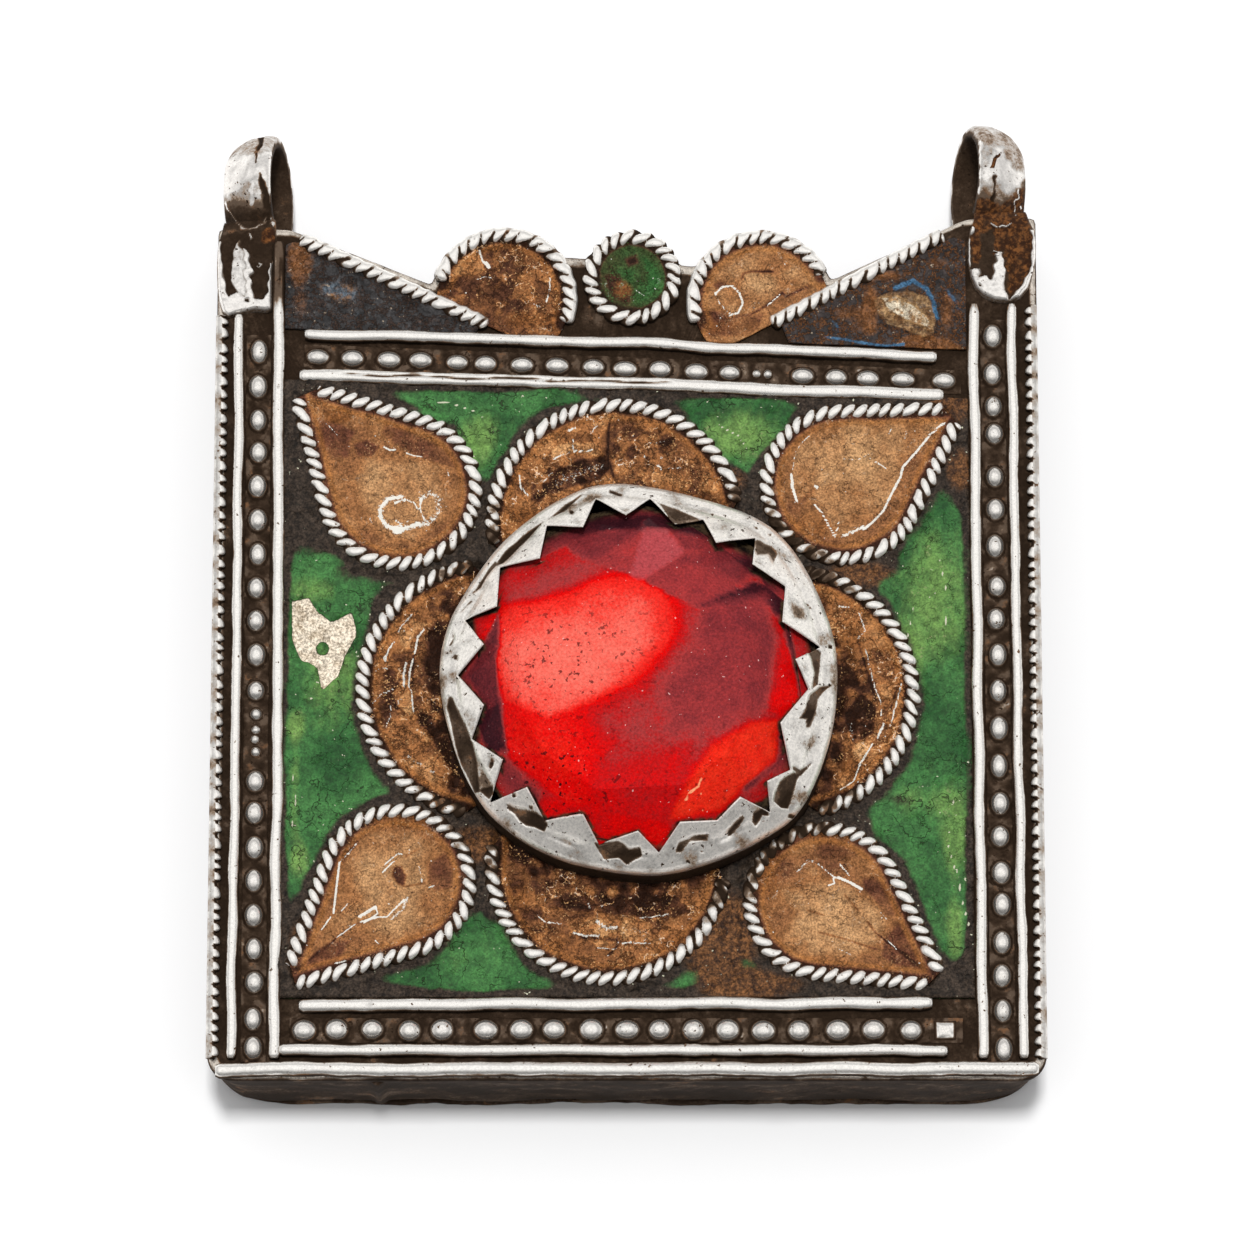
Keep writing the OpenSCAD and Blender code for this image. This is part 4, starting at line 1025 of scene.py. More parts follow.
tear_looks["upper_right"] = dict(
    base=0.44,
    tone=[
        (0.15, 0.66, [(11.5, 41.1), (10.8, 40.5), (10.5, 39.6), (10.3, 38.4), (10.4, 37.5), (10.7, 36.8),
         (11.9, 37.8), (10.9, 36.3), (11.4, 35.1), (11.7, 34.6), (13, 34.4), (14.9, 35), (16, 36.2),
         (16.6, 37.1), (17.3, 38.5), (17.3, 39.3), (18.3, 40.2), (19.9, 41.9), (18.1, 42), (15.2, 41.9),
         (13.1, 41.8)]),
        (1.4, 0.84, [(12.3, 40.3), (14, 41.2), (16.6, 41.4), (17.2, 40.3), (16.6, 39), (15.2, 37.8),
         (12.3, 38.1), (11.5, 39)]),
        (0.5, 0.98, [(14, 40), (15, 40.8), (16, 41.1), (15.8, 40.3), (14.9, 39.6), (13.7, 39.4)]),
        (0.2, 0.5, [(10.9, 36.3), (11.8, 36.7), (12.6, 35.7), (13.1, 34.6), (12.9, 34.3), (11.6, 34.9)]),
        (0.6, 0.3, [(9.7, 36.3), (10.2, 36.5), (10.3, 36), (10, 35.7)]),
        (0.5, 0.3, [(9.9, 35.7), (11.6, 34.7), (12.7, 34.2), (14, 34.1), (14, 33.6), (12.3, 33.7),
         (10.6, 34.6)])],
    rust=[(11.8, 35.2, 1.2, 1.0, 0.5), (10.5, 35.6, 0.7, 2.0, 0.3)],
    mark=[
        (0.085, 1.0, [(19.98, 41.87), (19.05, 41.06), (18.32, 40.17), (17.75, 39.5), (17.31, 38.99),
         (17.16, 38.32), (16.58, 37.21), (16.08, 36.18), (15.43, 35.44), (14.85, 34.97)]),
        (0.07, 0.66, [(11.47, 40.99), (10.9, 40.47), (10.54, 39.73), (10.39, 38.84)]),
        (0.09, 1.0, [(10.32, 38.54), (10.38, 37.66), (10.66, 36.7)]),
        (0.12, 1.0, [(11.85, 37.76), (11.91, 37.69)]),
        (0.07, 0.9, [(11.8, 36.55), (12.3, 35.89), (12.79, 34.85), (13, 34.41)]),
        (0.06, 0.8, [(13.29, 35.52), (13.07, 34.56)]),
        (0.16, 0.6, [(13.5, 34.49), (14.28, 34.85), (14.79, 35.15)]),
        (0.05, 0.8, [(16.62, 41.43), (16.48, 41.13)]), (0.05, 0.8, [(17.55, 41.28), (17.47, 40.84)]),
        (0.05, 0.64, [(13.61, 39.5), (14.39, 39.46), (15.18, 39.8)]),
        (0.06, 0.8, [(15.6, 39.36), (16.24, 38.91)])])
tear_looks["lower_left"] = dict(
    base=0.46,
    tone=[
        (0.15, 0.6, [(-17.8, 13.5), (-16.6, 15), (-15.5, 15.6), (-13.6, 15.7), (-11.9, 14.8),
         (-11.1, 13.8), (-10.4, 12.7), (-10.8, 11.5), (-11.6, 10.1), (-12.7, 9.1), (-14.4, 8.4),
         (-16.5, 7.7), (-18.1, 7.5), (-19.9, 7.1), (-18.8, 9), (-18.2, 10.4), (-18, 12.1)]),
        (1.2, 0.84, [(-16.3, 14.3), (-13.9, 14.3), (-13, 13.8), (-12.5, 12.7), (-13, 11.5), (-12.5, 10.1),
         (-13.9, 9), (-15.3, 9.5), (-15.8, 11.2), (-16.7, 12.1)]),
        (0.25, 0.2, [(-12.3, 13.5), (-11.1, 14.4), (-10.7, 13.3), (-10.9, 12), (-11.9, 11.8),
         (-12.3, 12.5)]),
        (0.25, 0.02, [(-17.7, 14), (-17.3, 15), (-16.6, 15.1), (-16.7, 14.7), (-17.3, 14.1),
         (-17.6, 13.5)]),
        (0.4, 0.14, [(-20.2, 6.8), (-19, 8.2), (-18.1, 8.7), (-17.1, 8.7), (-17.9, 7.2), (-19.3, 6.9)]),
        (0.12, 0.02, [(-14.5, 13.3), (-14, 13.4), (-13.7, 12.8), (-13.8, 12.1), (-14.2, 12.3),
         (-14.5, 12.8)])],
    rust=[(-14.0, 16.2, 2.2, 0.6, 0.5), (-12.8, 8.4, 1.8, 0.8, 0.3)],
    mark=[
        (0.14, 0.62, [(-16.53, 10.17), (-16.05, 10.46), (-15.56, 10.82)]),
        (0.06, 1.0, [(-16.46, 9.88), (-15.41, 10.17), (-14.85, 10.17), (-13.8, 11.25)]),
        (0.14, 0.6, [(-14.57, 10.03), (-13.87, 10.67), (-13.59, 11.39)]),
        (0.05, 1.0, [(-16.54, 10.24), (-15.56, 10.82), (-15.41, 10.39), (-16.25, 9.81)]),
        (0.05, 0.9, [(-15.02, 13.47), (-14.18, 14.19), (-13.75, 14.12)]),
        (0.06, 0.9, [(-15.15, 12.97), (-14.45, 13.69)]),
        (0.08, 1.0, [(-17.8, 13.55), (-17.96, 12.11), (-18.15, 10.39)]),
        (0.06, 0.9, [(-18.29, 10.17), (-18.84, 9.38)]), (0.06, 0.8, [(-16.81, 9.74), (-17.93, 8.88)]),
        (0.06, 0.7, [(-17.66, 10.53), (-17.25, 11.03)]),
        (0.08, 0.6, [(-16.72, 14.84), (-17.27, 14.12), (-17.69, 13.69)]),
        (0.09, 0.62, [(-12.9, 13.4), (-12.69, 12.4)]), (0.05, 0.8, [(-12.26, 12.04), (-11.91, 12.11)]),
        (0.06, 0.7, [(-15.54, 8.67), (-15.33, 8.45)]), (0.08, 0.7, [(-18.05, 7.21), (-17.35, 7.35)])],
    cuts=[
        (0.06, 0.6, [(-20.29, 6.81), (-18.9, 8.02), (-17.93, 8.88), (-16.81, 9.74), (-15.41, 10.17)]),
        (0.05, 0.6, [(-13.75, 13.98), (-12.91, 14.48)]), (0.06, 0.6, [(-13.74, 12.11), (-12.47, 12.32)])])
tear_looks["lower_right"] = dict(
    base=0.48,
    tone=[
        (0.9, 0.84, [(9.9, 11.7), (11.2, 12.3), (13.3, 12.5), (14.9, 11.4), (16, 9.7), (15.4, 8.6),
         (14, 7.4), (11.6, 7.7), (10.1, 7.7), (9.8, 8.9), (10.5, 10.4)]),
        (0.6, 0.22, [(10.7, 14), (12.4, 15), (14, 14.5), (14.3, 13.9), (13.2, 13.7), (13.3, 13.2),
         (12.3, 13), (11.6, 13.6), (10.8, 13.2)]),
        (0.25, 0.2, [(14.6, 12.6), (15.4, 12.6), (16.1, 11.9), (16.8, 10.3), (16, 10.2), (15.3, 11.3),
         (14.7, 12)]),
        (0.3, 0.1, [(16, 8.9), (16.8, 9.7), (17.6, 8.4), (18.6, 6.7), (16.8, 7), (15.7, 7.7)]),
        (0.12, 0.68, [(9.6, 8.6), (10.4, 9), (11.2, 8.6), (11.2, 7.7), (10.3, 7.4), (9.8, 7.9)]),
        (0.9, 0.34, [(8.3, 11.9), (8.8, 13.5), (10.4, 14), (10.1, 12.9), (9.1, 11.9), (8.5, 10.2)])],
    rust=[(8.8, 12.6, 1.0, 2.2, 0.5), (12.4, 15.2, 2.4, 0.6, 0.5)],
    mark=[
        (0.06, 0.8, [(11.85, 13.53), (12.62, 12.88), (12.9, 12.67)]),
        (0.1, 1.0, [(13.05, 12.67), (13.75, 12.38), (14.52, 11.95)]),
        (0.08, 0.9, [(12.48, 12.17), (12.83, 12.31), (12.76, 12.6)]),
        (0.06, 0.9, [(13.19, 13.53), (13.75, 12.81)]),
        (0.12, 0.58, [(10.51, 13.03), (11.22, 13.75), (11.64, 13.67)]),
        (0.05, 0.7, [(15.7, 10.44), (16.05, 10.01)]), (0.05, 0.8, [(16.11, 8.72), (16.66, 8.15)]),
        (0.05, 0.64, [(12.73, 8.37), (13.85, 7.72)])],
    cuts=[
        (0.06, 0.7, [(11.9, 9.22), (13.44, 8.79), (15.4, 8.15)]),
        (0.06, 0.8, [(14.85, 9.87), (15.41, 9.15), (16.52, 8.29), (18.61, 6.58)]),
        (0.05, 0.6, [(13.46, 11.59), (14.3, 10.59)]), (0.05, 0.6, [(11.2, 10.59), (12.19, 10.3)])])
for i, (key, looks) in enumerate(tear_looks.items()):
    row = tears[key]
    loop = teardrop(row)
    middle = (np.array(row[:2]) * 3 + (np.array(row[3]) + row[4]) / 2) / 4
    pool("tear_filling_" + key, star_grid(loop, middle, 54, 230), True, loop, amber, "amber_enamel",
         "tear_enamel_" + key, 0.30, 0.62, seed=400 + 9 * i, **looks)

lobe_looks = {}
lobe_looks["top"] = dict(
    base=0.42,
    tone=[
        (0.3, 0.3, [(-6.7, 38.9), (-5.9, 39.6), (-4.9, 39.8), (-4.9, 38.5), (-6.1, 37.3), (-6.5, 38.1)]),
        (0.3, 0.26, [(-1.1, 42), (1.3, 42.1), (2.7, 41.2), (2.4, 40.4), (1.4, 40.6), (-0.5, 40.6),
         (-1.1, 41)]),
        (0.3, 0.2, [(-1.1, 40.6), (1.5, 40.4), (3.5, 39.8), (4.2, 38.7), (3.3, 38.5), (1.8, 39),
         (-0.5, 39.2)]), (0.3, 0.48, [(-0.8, 38.9), (1.8, 38.7), (4.5, 37.5), (1.5, 37.9), (-0.8, 38.4)]),
        (0.12, 0.74, [(-4.8, 40), (-4.3, 40.4), (-3.4, 40.6), (-2, 40.6), (-1.3, 39.6), (-1.9, 39.7),
         (-3.4, 40), (-4.6, 39.5)]),
        (0.2, 0.66, [(-3.8, 41.3), (-2.9, 41.8), (-2.3, 42.3), (-1.9, 41.8), (-1.1, 41.9), (-1.7, 40.4),
         (-2.5, 41)]),
        (0.2, -0.05, [(-5.3, 37.9), (-4.6, 38.7), (-2.9, 39.5), (-1.4, 39.7), (-1.1, 38.9), (-1.7, 38.2),
         (-3.2, 37.8), (-4.4, 37.3), (-5.3, 37.2)]),
        (0.15, 0.02, [(2.1, 40.7), (3, 41), (3, 40.6), (2.3, 40.3)]),
        (0.3, 0.66, [(4.8, 38.9), (5.7, 37.6), (5.4, 37.2), (4.5, 37.5)]),
        (0.4, 0.05, [(-5.9, 37.2), (-5, 37.3), (-5.3, 36.8), (-6.1, 36.8)])],
    rust=[(-6.5, 35.6, 1.2, 1.2, 0.5), (4.6, 36.6, 1.8, 0.7, 0.5)],
    mark=[
        (0.5, 0.4, [(-4.43, 37.93), (-3.23, 38.55), (-1.74, 39.01)]),
        (0.07, 0.9, [(-4.66, 39.51), (-4.13, 39.71), (-3.61, 39.94)]),
        (0.06, 0.9, [(-3.39, 40.8), (-3.39, 40.02), (-2.79, 40.02), (-2.19, 40.07)]),
        (0.12, 0.72, [(-3.76, 41.34), (-3.24, 41.49)]), (0.1, 0.72, [(-2.49, 42.04), (-2.49, 42.27)]),
        (0.1, 0.64, [(-2.27, 41.18), (-1.89, 41.65)]),
        (0.06, 1.0, [(-6.75, 38.39), (-6.67, 37.62), (-6.22, 37.16)]),
        (0.08, 0.66, [(-0.54, 39.17), (0.2, 39.04)]), (0.06, 0.66, [(1.25, 40.56), (2.3, 40.64)]),
        (0.1, 0.66, [(1.1, 39.71), (1.13, 39.6)]), (0.1, 0.72, [(2.15, 39.63), (2.15, 39.54)]),
        (0.12, 0.7, [(1.92, 39.09), (2.15, 38.86)]), (0.06, 0.7, [(2.59, 38.93), (3.49, 38.93)]),
        (0.07, 0.66, [(-5.32, 37.93), (-4.88, 38.47), (-4.58, 38.63)])],
    cuts=[
        (0.07, 0.6, [(-1.14, 41.88), (-1.22, 39.63), (-0.84, 38.39)]),
        (0.06, 0.5, [(-4.81, 40.02), (-4.88, 38.55)]),
        (0.06, 0.5, [(1.4, 40.49), (2.45, 40.49), (3.05, 41.03)])])
lobe_looks["left"] = dict(
    base=0.4,
    tone=[
        (0.2, 0.64, [(-14.3, 28.3), (-13.4, 29.1), (-12.1, 29), (-12.7, 28.5), (-13.3, 28), (-13.8, 27.2),
         (-14.1, 27.5)]),
        (0.2, 0.34, [(-13.4, 29.8), (-11.9, 30.5), (-11.1, 30.3), (-11.5, 29.5), (-12.5, 28.9),
         (-13.3, 29.1)]),
        (0.25, 0.18, [(-15.8, 25.9), (-14.7, 26.1), (-14.1, 25.2), (-14.7, 24.5), (-14.7, 22.5),
         (-15.1, 22), (-15.7, 22.5), (-15.9, 23.4)]),
        (0.3, 0.6, [(-14.7, 22.8), (-13.4, 22.8), (-12.5, 22), (-11.4, 20.1), (-11.1, 18.9),
         (-12.2, 18.7), (-13.6, 19.3), (-14.7, 20.7), (-15.1, 21.4)]),
        (0.5, 0.06, [(-12.5, 28.5), (-11.5, 29.2), (-11, 29.1), (-11.8, 26.2), (-11.8, 25.1), (-12, 23.4),
         (-12.5, 25.2), (-12.4, 26.9)]),
        (0.2, 0.1, [(-13.2, 23), (-12, 23.4), (-12, 22.2), (-12.9, 22.4)]),
        (0.12, 0.82, [(-14.3, 24), (-13.6, 24.6), (-13.2, 23.1), (-13.4, 22.8), (-14.3, 23.6)])],
    rust=[(-13.5, 19.5, 1.4, 1.4, 0.3), (-15.4, 24.0, 0.7, 2.4, 0.2)],
    mark=[
        (0.07, 0.7, [(-14.3, 28.23), (-14.08, 28.69), (-13.57, 29.23), (-13.42, 29.46)]),
        (0.07, 0.9, [(-14.52, 27.69), (-14.82, 27.24), (-15.06, 26.7)]),
        (0.12, 0.9, [(-15.11, 26.59), (-15.09, 26.47)]),
        (0.05, 0.8, [(-15.77, 25.71), (-15.47, 25.94), (-14.73, 26.01)]),
        (0.08, 0.66, [(-15.83, 23.72), (-15.31, 24.33), (-14.57, 24.64)]),
        (0.07, 0.7, [(-14.71, 23.57), (-14.71, 22.96), (-15, 22.2)]),
        (0.07, 1.0, [(-12.67, 28.46), (-13.04, 28), (-13.25, 26.93)]),
        (0.08, 1.0, [(-13.77, 26.32), (-13.91, 25.55), (-13.91, 24.79)]),
        (0.07, 0.9, [(-13.33, 26.62), (-13.54, 25.86), (-13.61, 24.79)]),
        (0.06, 0.9, [(-13.46, 24.64), (-13.3, 23.19)]), (0.1, 0.6, [(-14.27, 23.88), (-14.19, 23.65)]),
        (0.25, 0.44, [(-13.65, 20.38), (-12.02, 19.31)])],
    cuts=[
        (0.07, 0.6, [(-14.13, 25.25), (-14.72, 24.33), (-14.34, 23.42)]),
        (0.06, 0.5, [(-15.92, 25.94), (-15.82, 23.42)]), (0.08, 0.5, [(-13.33, 26.78), (-13.39, 24.79)])])
lobe_looks["right"] = dict(
    base=0.48,
    tone=[
        (0.4, 0.24, [(13.3, 27.1), (14.5, 27.9), (15.5, 24.4), (14.4, 24.4), (13.5, 25)]),
        (0.4, 0.2, [(15.3, 27.1), (16.2, 27.4), (16.8, 26.5), (16.7, 25.3), (15.9, 25.1), (15.5, 26.1)]),
        (0.2, 0.02, [(13.8, 23.5), (14.6, 24.4), (15.5, 23.5), (15.3, 21.9), (14.1, 21.1), (13.7, 22.6)]),
        (0.3, 0.34, [(12.7, 30.2), (13.9, 30.3), (14.5, 29.4), (14.9, 28.4), (14.3, 27.9), (13.1, 28.8)]),
        (0.12, 0.74, [(14, 21), (15.3, 21.6), (15.1, 20.7), (14.5, 20), (14, 20)]),
        (0.3, 0.24, [(12.6, 24.4), (13.4, 24.7), (13.5, 23.5), (12.9, 22.2), (12.6, 22.2)]),
        (0.3, 0.56, [(12.6, 19.5), (13.8, 19.5), (13.9, 18.5), (12.6, 17.8)])],
    rust=[(13.9, 27.8, 1.0, 2.0, 0.4), (13.9, 19.5, 1.2, 1.0, 0.5)],
    mark=[
        (0.07, 0.7, [(14.47, 29.58), (14.68, 28.97), (14.87, 28.35), (14.38, 27.89)]),
        (0.06, 0.78, [(14.89, 27.2), (15.11, 26.06), (15.47, 24.68), (15.83, 23.77), (15.82, 22.86)]),
        (0.09, 0.9, [(15.97, 22.4), (15.59, 21.56)]),
        (0.07, 0.9, [(15.29, 21.18), (14.84, 20.42), (14.46, 19.82)]),
        (0.06, 0.8, [(14.46, 19.82), (14.09, 18.75), (13.19, 18.15)]),
        (0.1, 0.62, [(13.28, 29.96), (13.87, 29.89)]),
        (0.06, 0.9, [(17.1, 24.99), (16.79, 23.77), (16.33, 22.17)]),
        (0.25, 0.42, [(13.89, 22.55), (14.03, 21.33)])],
    cuts=[
        (0.08, 0.7, [(16.92, 24.99), (16.42, 23.39)]),
        (0.06, 0.5, [(14.38, 27.82), (14.88, 26.06), (15.53, 23.92)]),
        (0.06, 0.5, [(12.64, 23.46), (13.24, 24.68), (13.69, 25.29)])])
lobe_looks["bottom"] = dict(
    base=0.44,
    tone=[
        (0.3, 0.3, [(-7.2, 12.4), (-5, 12.6), (-3.9, 10.8), (-5.5, 9.9), (-6.9, 10)]),
        (0.5, 0.0, [(-4.4, 11.7), (-1.4, 11.5), (1.2, 11.7), (2.6, 11.4), (2.1, 10.3), (0.1, 10.2),
         (-0.8, 10.3), (-2.6, 10.6), (-3.9, 10.8)]),
        (0.2, 0.6, [(-3.8, 10), (-1.9, 10.2), (-0.5, 9.4), (-0.7, 8.8), (-2.4, 9), (-3.5, 9.1)]),
        (0.15, 0.76, [(-0.2, 10), (0.6, 10.2), (1.5, 9.7), (1.5, 8.7), (0.6, 8.5), (-0.2, 8.7),
         (-0.5, 9.1)]),
        (0.4, 0.54, [(-5.4, 8.1), (-2.9, 7.8), (-0.5, 8.1), (1.5, 7.8), (0.6, 6.9), (-2.9, 6.9)]),
        (0.4, 0.26, [(1.8, 9.7), (3.3, 10.8), (4.2, 10.5), (3.7, 8.8), (2.1, 7.8)])],
    rust=[(-4.1, 8.4, 2.0, 1.2, 0.3), (3.0, 8.4, 2.0, 1.0, 0.4), (-6.6, 11.3, 0.8, 1.6, 0.4)],
    mark=[
        (0.07, 0.72, [(-5.54, 10.3), (-5.1, 9.85), (-4.07, 9.73)]),
        (0.08, 0.9, [(-3.4, 9.18), (-2.45, 8.98), (-1.71, 8.98)]),
        (0.2, 0.62, [(-1.86, 9.85), (-1.27, 9.4), (-0.68, 9.55)]),
        (0.07, 0.8, [(0.79, 10.08), (1.52, 10.18), (2.56, 10.33)]),
        (0.08, 0.76, [(-0.39, 8.43), (0.05, 8.58), (0.64, 8.5), (1.38, 8.5)]),
        (0.06, 0.66, [(-1.86, 8.2), (-0.68, 8.17)]), (0.07, 0.7, [(-2.45, 11.13), (-2.3, 10.75)]),
        (0.3, 0.42, [(0.05, 9.4), (1.23, 9.1)])],
    cuts=[
        (0.06, 0.7, [(-0.54, 9.25), (-0.61, 8.35), (-1.12, 7.75)]),
        (0.05, 0.6, [(0.64, 10.3), (0.79, 8.65)]), (0.06, 0.7, [(-2.89, 8.88), (-0.68, 8.77)]),
        (0.08, 0.5, [(-6.57, 9.4), (-5.1, 9.25)])])
for i, (key, looks) in enumerate(lobe_looks.items()):
    row = lobes[key]
    path = arc(row)
    outer_line = resample(path, 0.12)[1]
    away = outer_line - RIM
    inner_line = RIM + away / np.linalg.norm(away, axis=1, keepdims=True) * 11.9
    f = np.linspace(0, 1, 54)[:, None, None]
    grid = outer_line[None] * (1 - f) + inner_line[None] * f
    pool("lobe_filling_" + key, grid, False, path, brown, "brown_enamel", "lobe_enamel_" + key,
         0.12, 0.52, seed=500 + 9 * i, relief=0.22, **looks)


def cut_above(loop, a, b):
    """The part of a closed loop on the left of the line from a to b."""
    a, b = np.array(a), np.array(b)
    side = b - a
    above = [(p - a)[1] * side[0] - (p - a)[0] * side[1] for p in loop]
    kept = []
    for p, q, hp, hq in zip(loop, np.roll(loop, -1, 0), above, np.roll(above, -1)):
        if hp >= 0:
            kept.append(p)
        if hp * hq < 0:
            kept.append(p + (q - p) * hp / (hp - hq))
    return np.array(kept)


roundel_looks = {}
roundel_looks["left"] = dict(
    base=0.3,
    tone=[
        (0.15, 0.72, [(-11.4, 51.4), (-10.8, 52.4), (-9.6, 53.2), (-9.3, 53.1), (-9, 51.9), (-9.3, 51.6),
         (-10.3, 51.5)]),
        (0.4, 0.5, [(-5.2, 51.3), (-4.2, 51.1), (-4, 49.7), (-4.9, 49.4), (-5.1, 50.2)]),
        (0.5, 0.4, [(-8.4, 49.2), (-6.9, 49.4), (-5.7, 48.6), (-6, 48), (-8.4, 48)]),
        (0.8, 0.16, [(-8.8, 53), (-6.9, 53.2), (-5.4, 52.2), (-6.3, 51.7), (-8.4, 52.1)])],
    rust=[(-6.1, 48.6, 2.2, 0.7, 0.5)],
    mark=[
        (0.09, 0.8, [(-9.33, 53.15), (-9.15, 52.53), (-8.77, 52.13)]),
        (0.13, 0.8, [(-8.87, 52.37), (-8.72, 52.09)]),
        (0.06, 0.66, [(-9.67, 51.19), (-8.99, 51.46), (-8.54, 51.39)]),
        (0.06, 0.9, [(-4.85, 51.35), (-4.92, 50.33), (-5.1, 49.78)]),
        (0.08, 0.8, [(-5.82, 49.62), (-5.52, 49.47)])])
roundel_looks["right"] = dict(
    base=0.62,
    tone=[
        (0.8, 0.86, [(7.4, 51.7), (9.1, 51.7), (9.5, 50.8), (8.4, 50.3), (7.4, 50.8)]),
        (0.5, 0.8, [(9.7, 51.9), (10.6, 52.1), (10.9, 51.4), (10, 51.3)]),
        (0.2, 0.42, [(8.7, 49.6), (9.8, 50.4), (10, 50.2), (11.7, 51), (11.5, 50.2), (9, 48.9)]),
        (0.2, 0.3, [(4.7, 49.1), (6, 49.2), (6.8, 48.8), (8, 48.9), (8.6, 49.1), (8.3, 48), (7.5, 47.5),
         (5, 47.6)]),
        (0.3, 0.1, [(4.8, 49.2), (5.7, 49.2), (6.2, 48.6), (6, 47.8), (5.1, 48), (4.7, 48.4)]),
        (0.3, 0.1, [(5.4, 50.9), (5.9, 51.2), (6.3, 51), (5.7, 50.6)]),
        (0.15, 0.7, [(5.8, 50.3), (6.3, 50.6), (6.9, 50.6), (7.1, 49.8), (6.6, 49.2), (6.1, 49.5)])],
    rust=[(5.7, 48.1, 1.4, 0.7, 0.4), (8.1, 48.3, 1.2, 0.5, 0.3)],
    mark=[
        (0.1, 0.76, [(5.59, 50.33), (6.04, 50.8), (6.64, 50.84), (7.09, 50.41), (7.32, 49.7),
         (7.01, 49.07), (6.56, 48.95)]),
        (0.05, 0.8, [(6.56, 48.95), (6.11, 49.39), (5.74, 49.86), (5.59, 50.33)]),
        (0.06, 0.8, [(8.82, 49.57), (9.65, 50.25)])],
    cuts=[
        (0.08, 0.9, [(7.28, 51.35), (7.35, 51.69), (7.85, 51.83), (9.21, 51.79)]),
        (0.07, 0.8, [(6.79, 48.84), (7.84, 49), (8.74, 49.54), (9.8, 50.41), (10.03, 50.17),
         (11.46, 50.84)])])
crest_foot = [(-21.4, 48.05), (21.3, 46.60)]
for i, (key, looks) in enumerate(roundel_looks.items()):
    cx, cy, r = roundels[key][:3]
    loop = cut_above(arc((cx, cy, r), 0, 356), *crest_foot)
    slope = crest_lines[key] if key == "left" else crest_lines[key][::-1]
    loop = cut_above(loop, *slope)
    wires = resample(arc(roundels[key]), 0.1)[1]
    glaze = brown if key == "left" else amber
    pool("roundel_filling_" + key, star_grid(loop, loop.mean(0), 40, 170), True, wires, glaze,
         "brown_enamel", "roundel_enamel_" + key, 0.12, 0.50, seed=600 + 9 * i, **looks)
loop = arc(crest_ring[:3], 0, 356)
pool("ring_filling", star_grid(loop, crest_ring[:2], 30, 120), True, loop, green_cell, "green_enamel",
     "crest_ring_enamel", 0.22, 0.55, [
         (0.6, 0.0, [(-1.9, 51.6), (-0.4, 51.5), (0.3, 50.6), (0.2, 49.6), (1.2, 48.9), (0.3, 48.6),
          (-1.2, 49.0), (-2.0, 50.2)]), (0.4, 0.0, [(-0.1, 52.6), (0.6, 52.9), (0.7, 52.4), (0.1, 52.2)]),
         (0.8, 0.9, [(1.2, 52.6), (2.3, 51.6), (2.2, 50.4), (1.4, 50.6)])],
     [(-0.32, 50.59, 0.8, 0.8, 0.5)], [(0.06, 0.64, [(0.57, 50.59), (1.07, 50.20)])], 630)


def corner_filling(name, base, blue, lump, gleam, rusting):
    """Fields: "tone" raises the lump, "rust", and "mark" for the blue streaks."""
    p = Paint(name)
    clouds = p.noise(0.9, 6, 0.72)
    colour = p.mix(p.ease(clouds, 0.36, 0.66), base, tuple(3.2 * b for b in base))
    vein = p.math("ABSOLUTE", p.noise(0.8, 5, 0.7, shift=0.004) - 0.5)
    rust = p.field("rust") + p.noise(0.55, 6, 0.75, shift=0.004) * 0.9
    rust = p.math("MAXIMUM", p.ease(rust, 0.70, 1.10), p.ease(vein, 0.035, 0.010) * rusting)
    colour = p.mix(rust * 0.85, colour, p.mix(p.noise(0.3, 3), (0.07, 0.026, 0.010), (0.34, 0.13, 0.035)))
    gold = p.field("tone") + p.noise(0.6, 5, 0.7, shift=0.007) * 0.9
    golden = p.mix(p.ease(clouds, 0.4, 0.6), (0.20, 0.095, 0.035), lump)
    colour = p.mix(p.ease(gold, 0.85, 1.25), colour, golden)
    colour = p.mix(p.ease(gold, 1.34, 1.50), colour, gleam)
    streak = p.ease(p.field("mark") + p.noise(0.5, 5, 0.7, shift=0.002) * 0.9, 0.75, 1.15)
    colour = p.mix(streak, colour, blue)
    colour = p.mottle(colour, 0.14, 0.62, 1.35, 0.009)
    fleck = p.ease(p.noise(0.28, 2, 0.6, shift=0.008), 0.67, 0.72)
    colour = p.mix(fleck * 0.7, colour, (0.46, 0.36, 0.26))
    height = p.noise(0.5, 4, 0.7) + p.ease(vein, 0.05, 0.0) * -0.6
    p.use(Base_Color=colour, Roughness=0.34, Normal=p.bump(height, 0.10), Specular_IOR_Level=0.35)
    return p


def corner_grid(loop, middle):
    """Rings of points from a middle out to the outline of a corner."""
    closed = np.concatenate([loop, loop[:1]])
    return star_grid(resample(closed, 0.2)[1], middle, 50, 200)


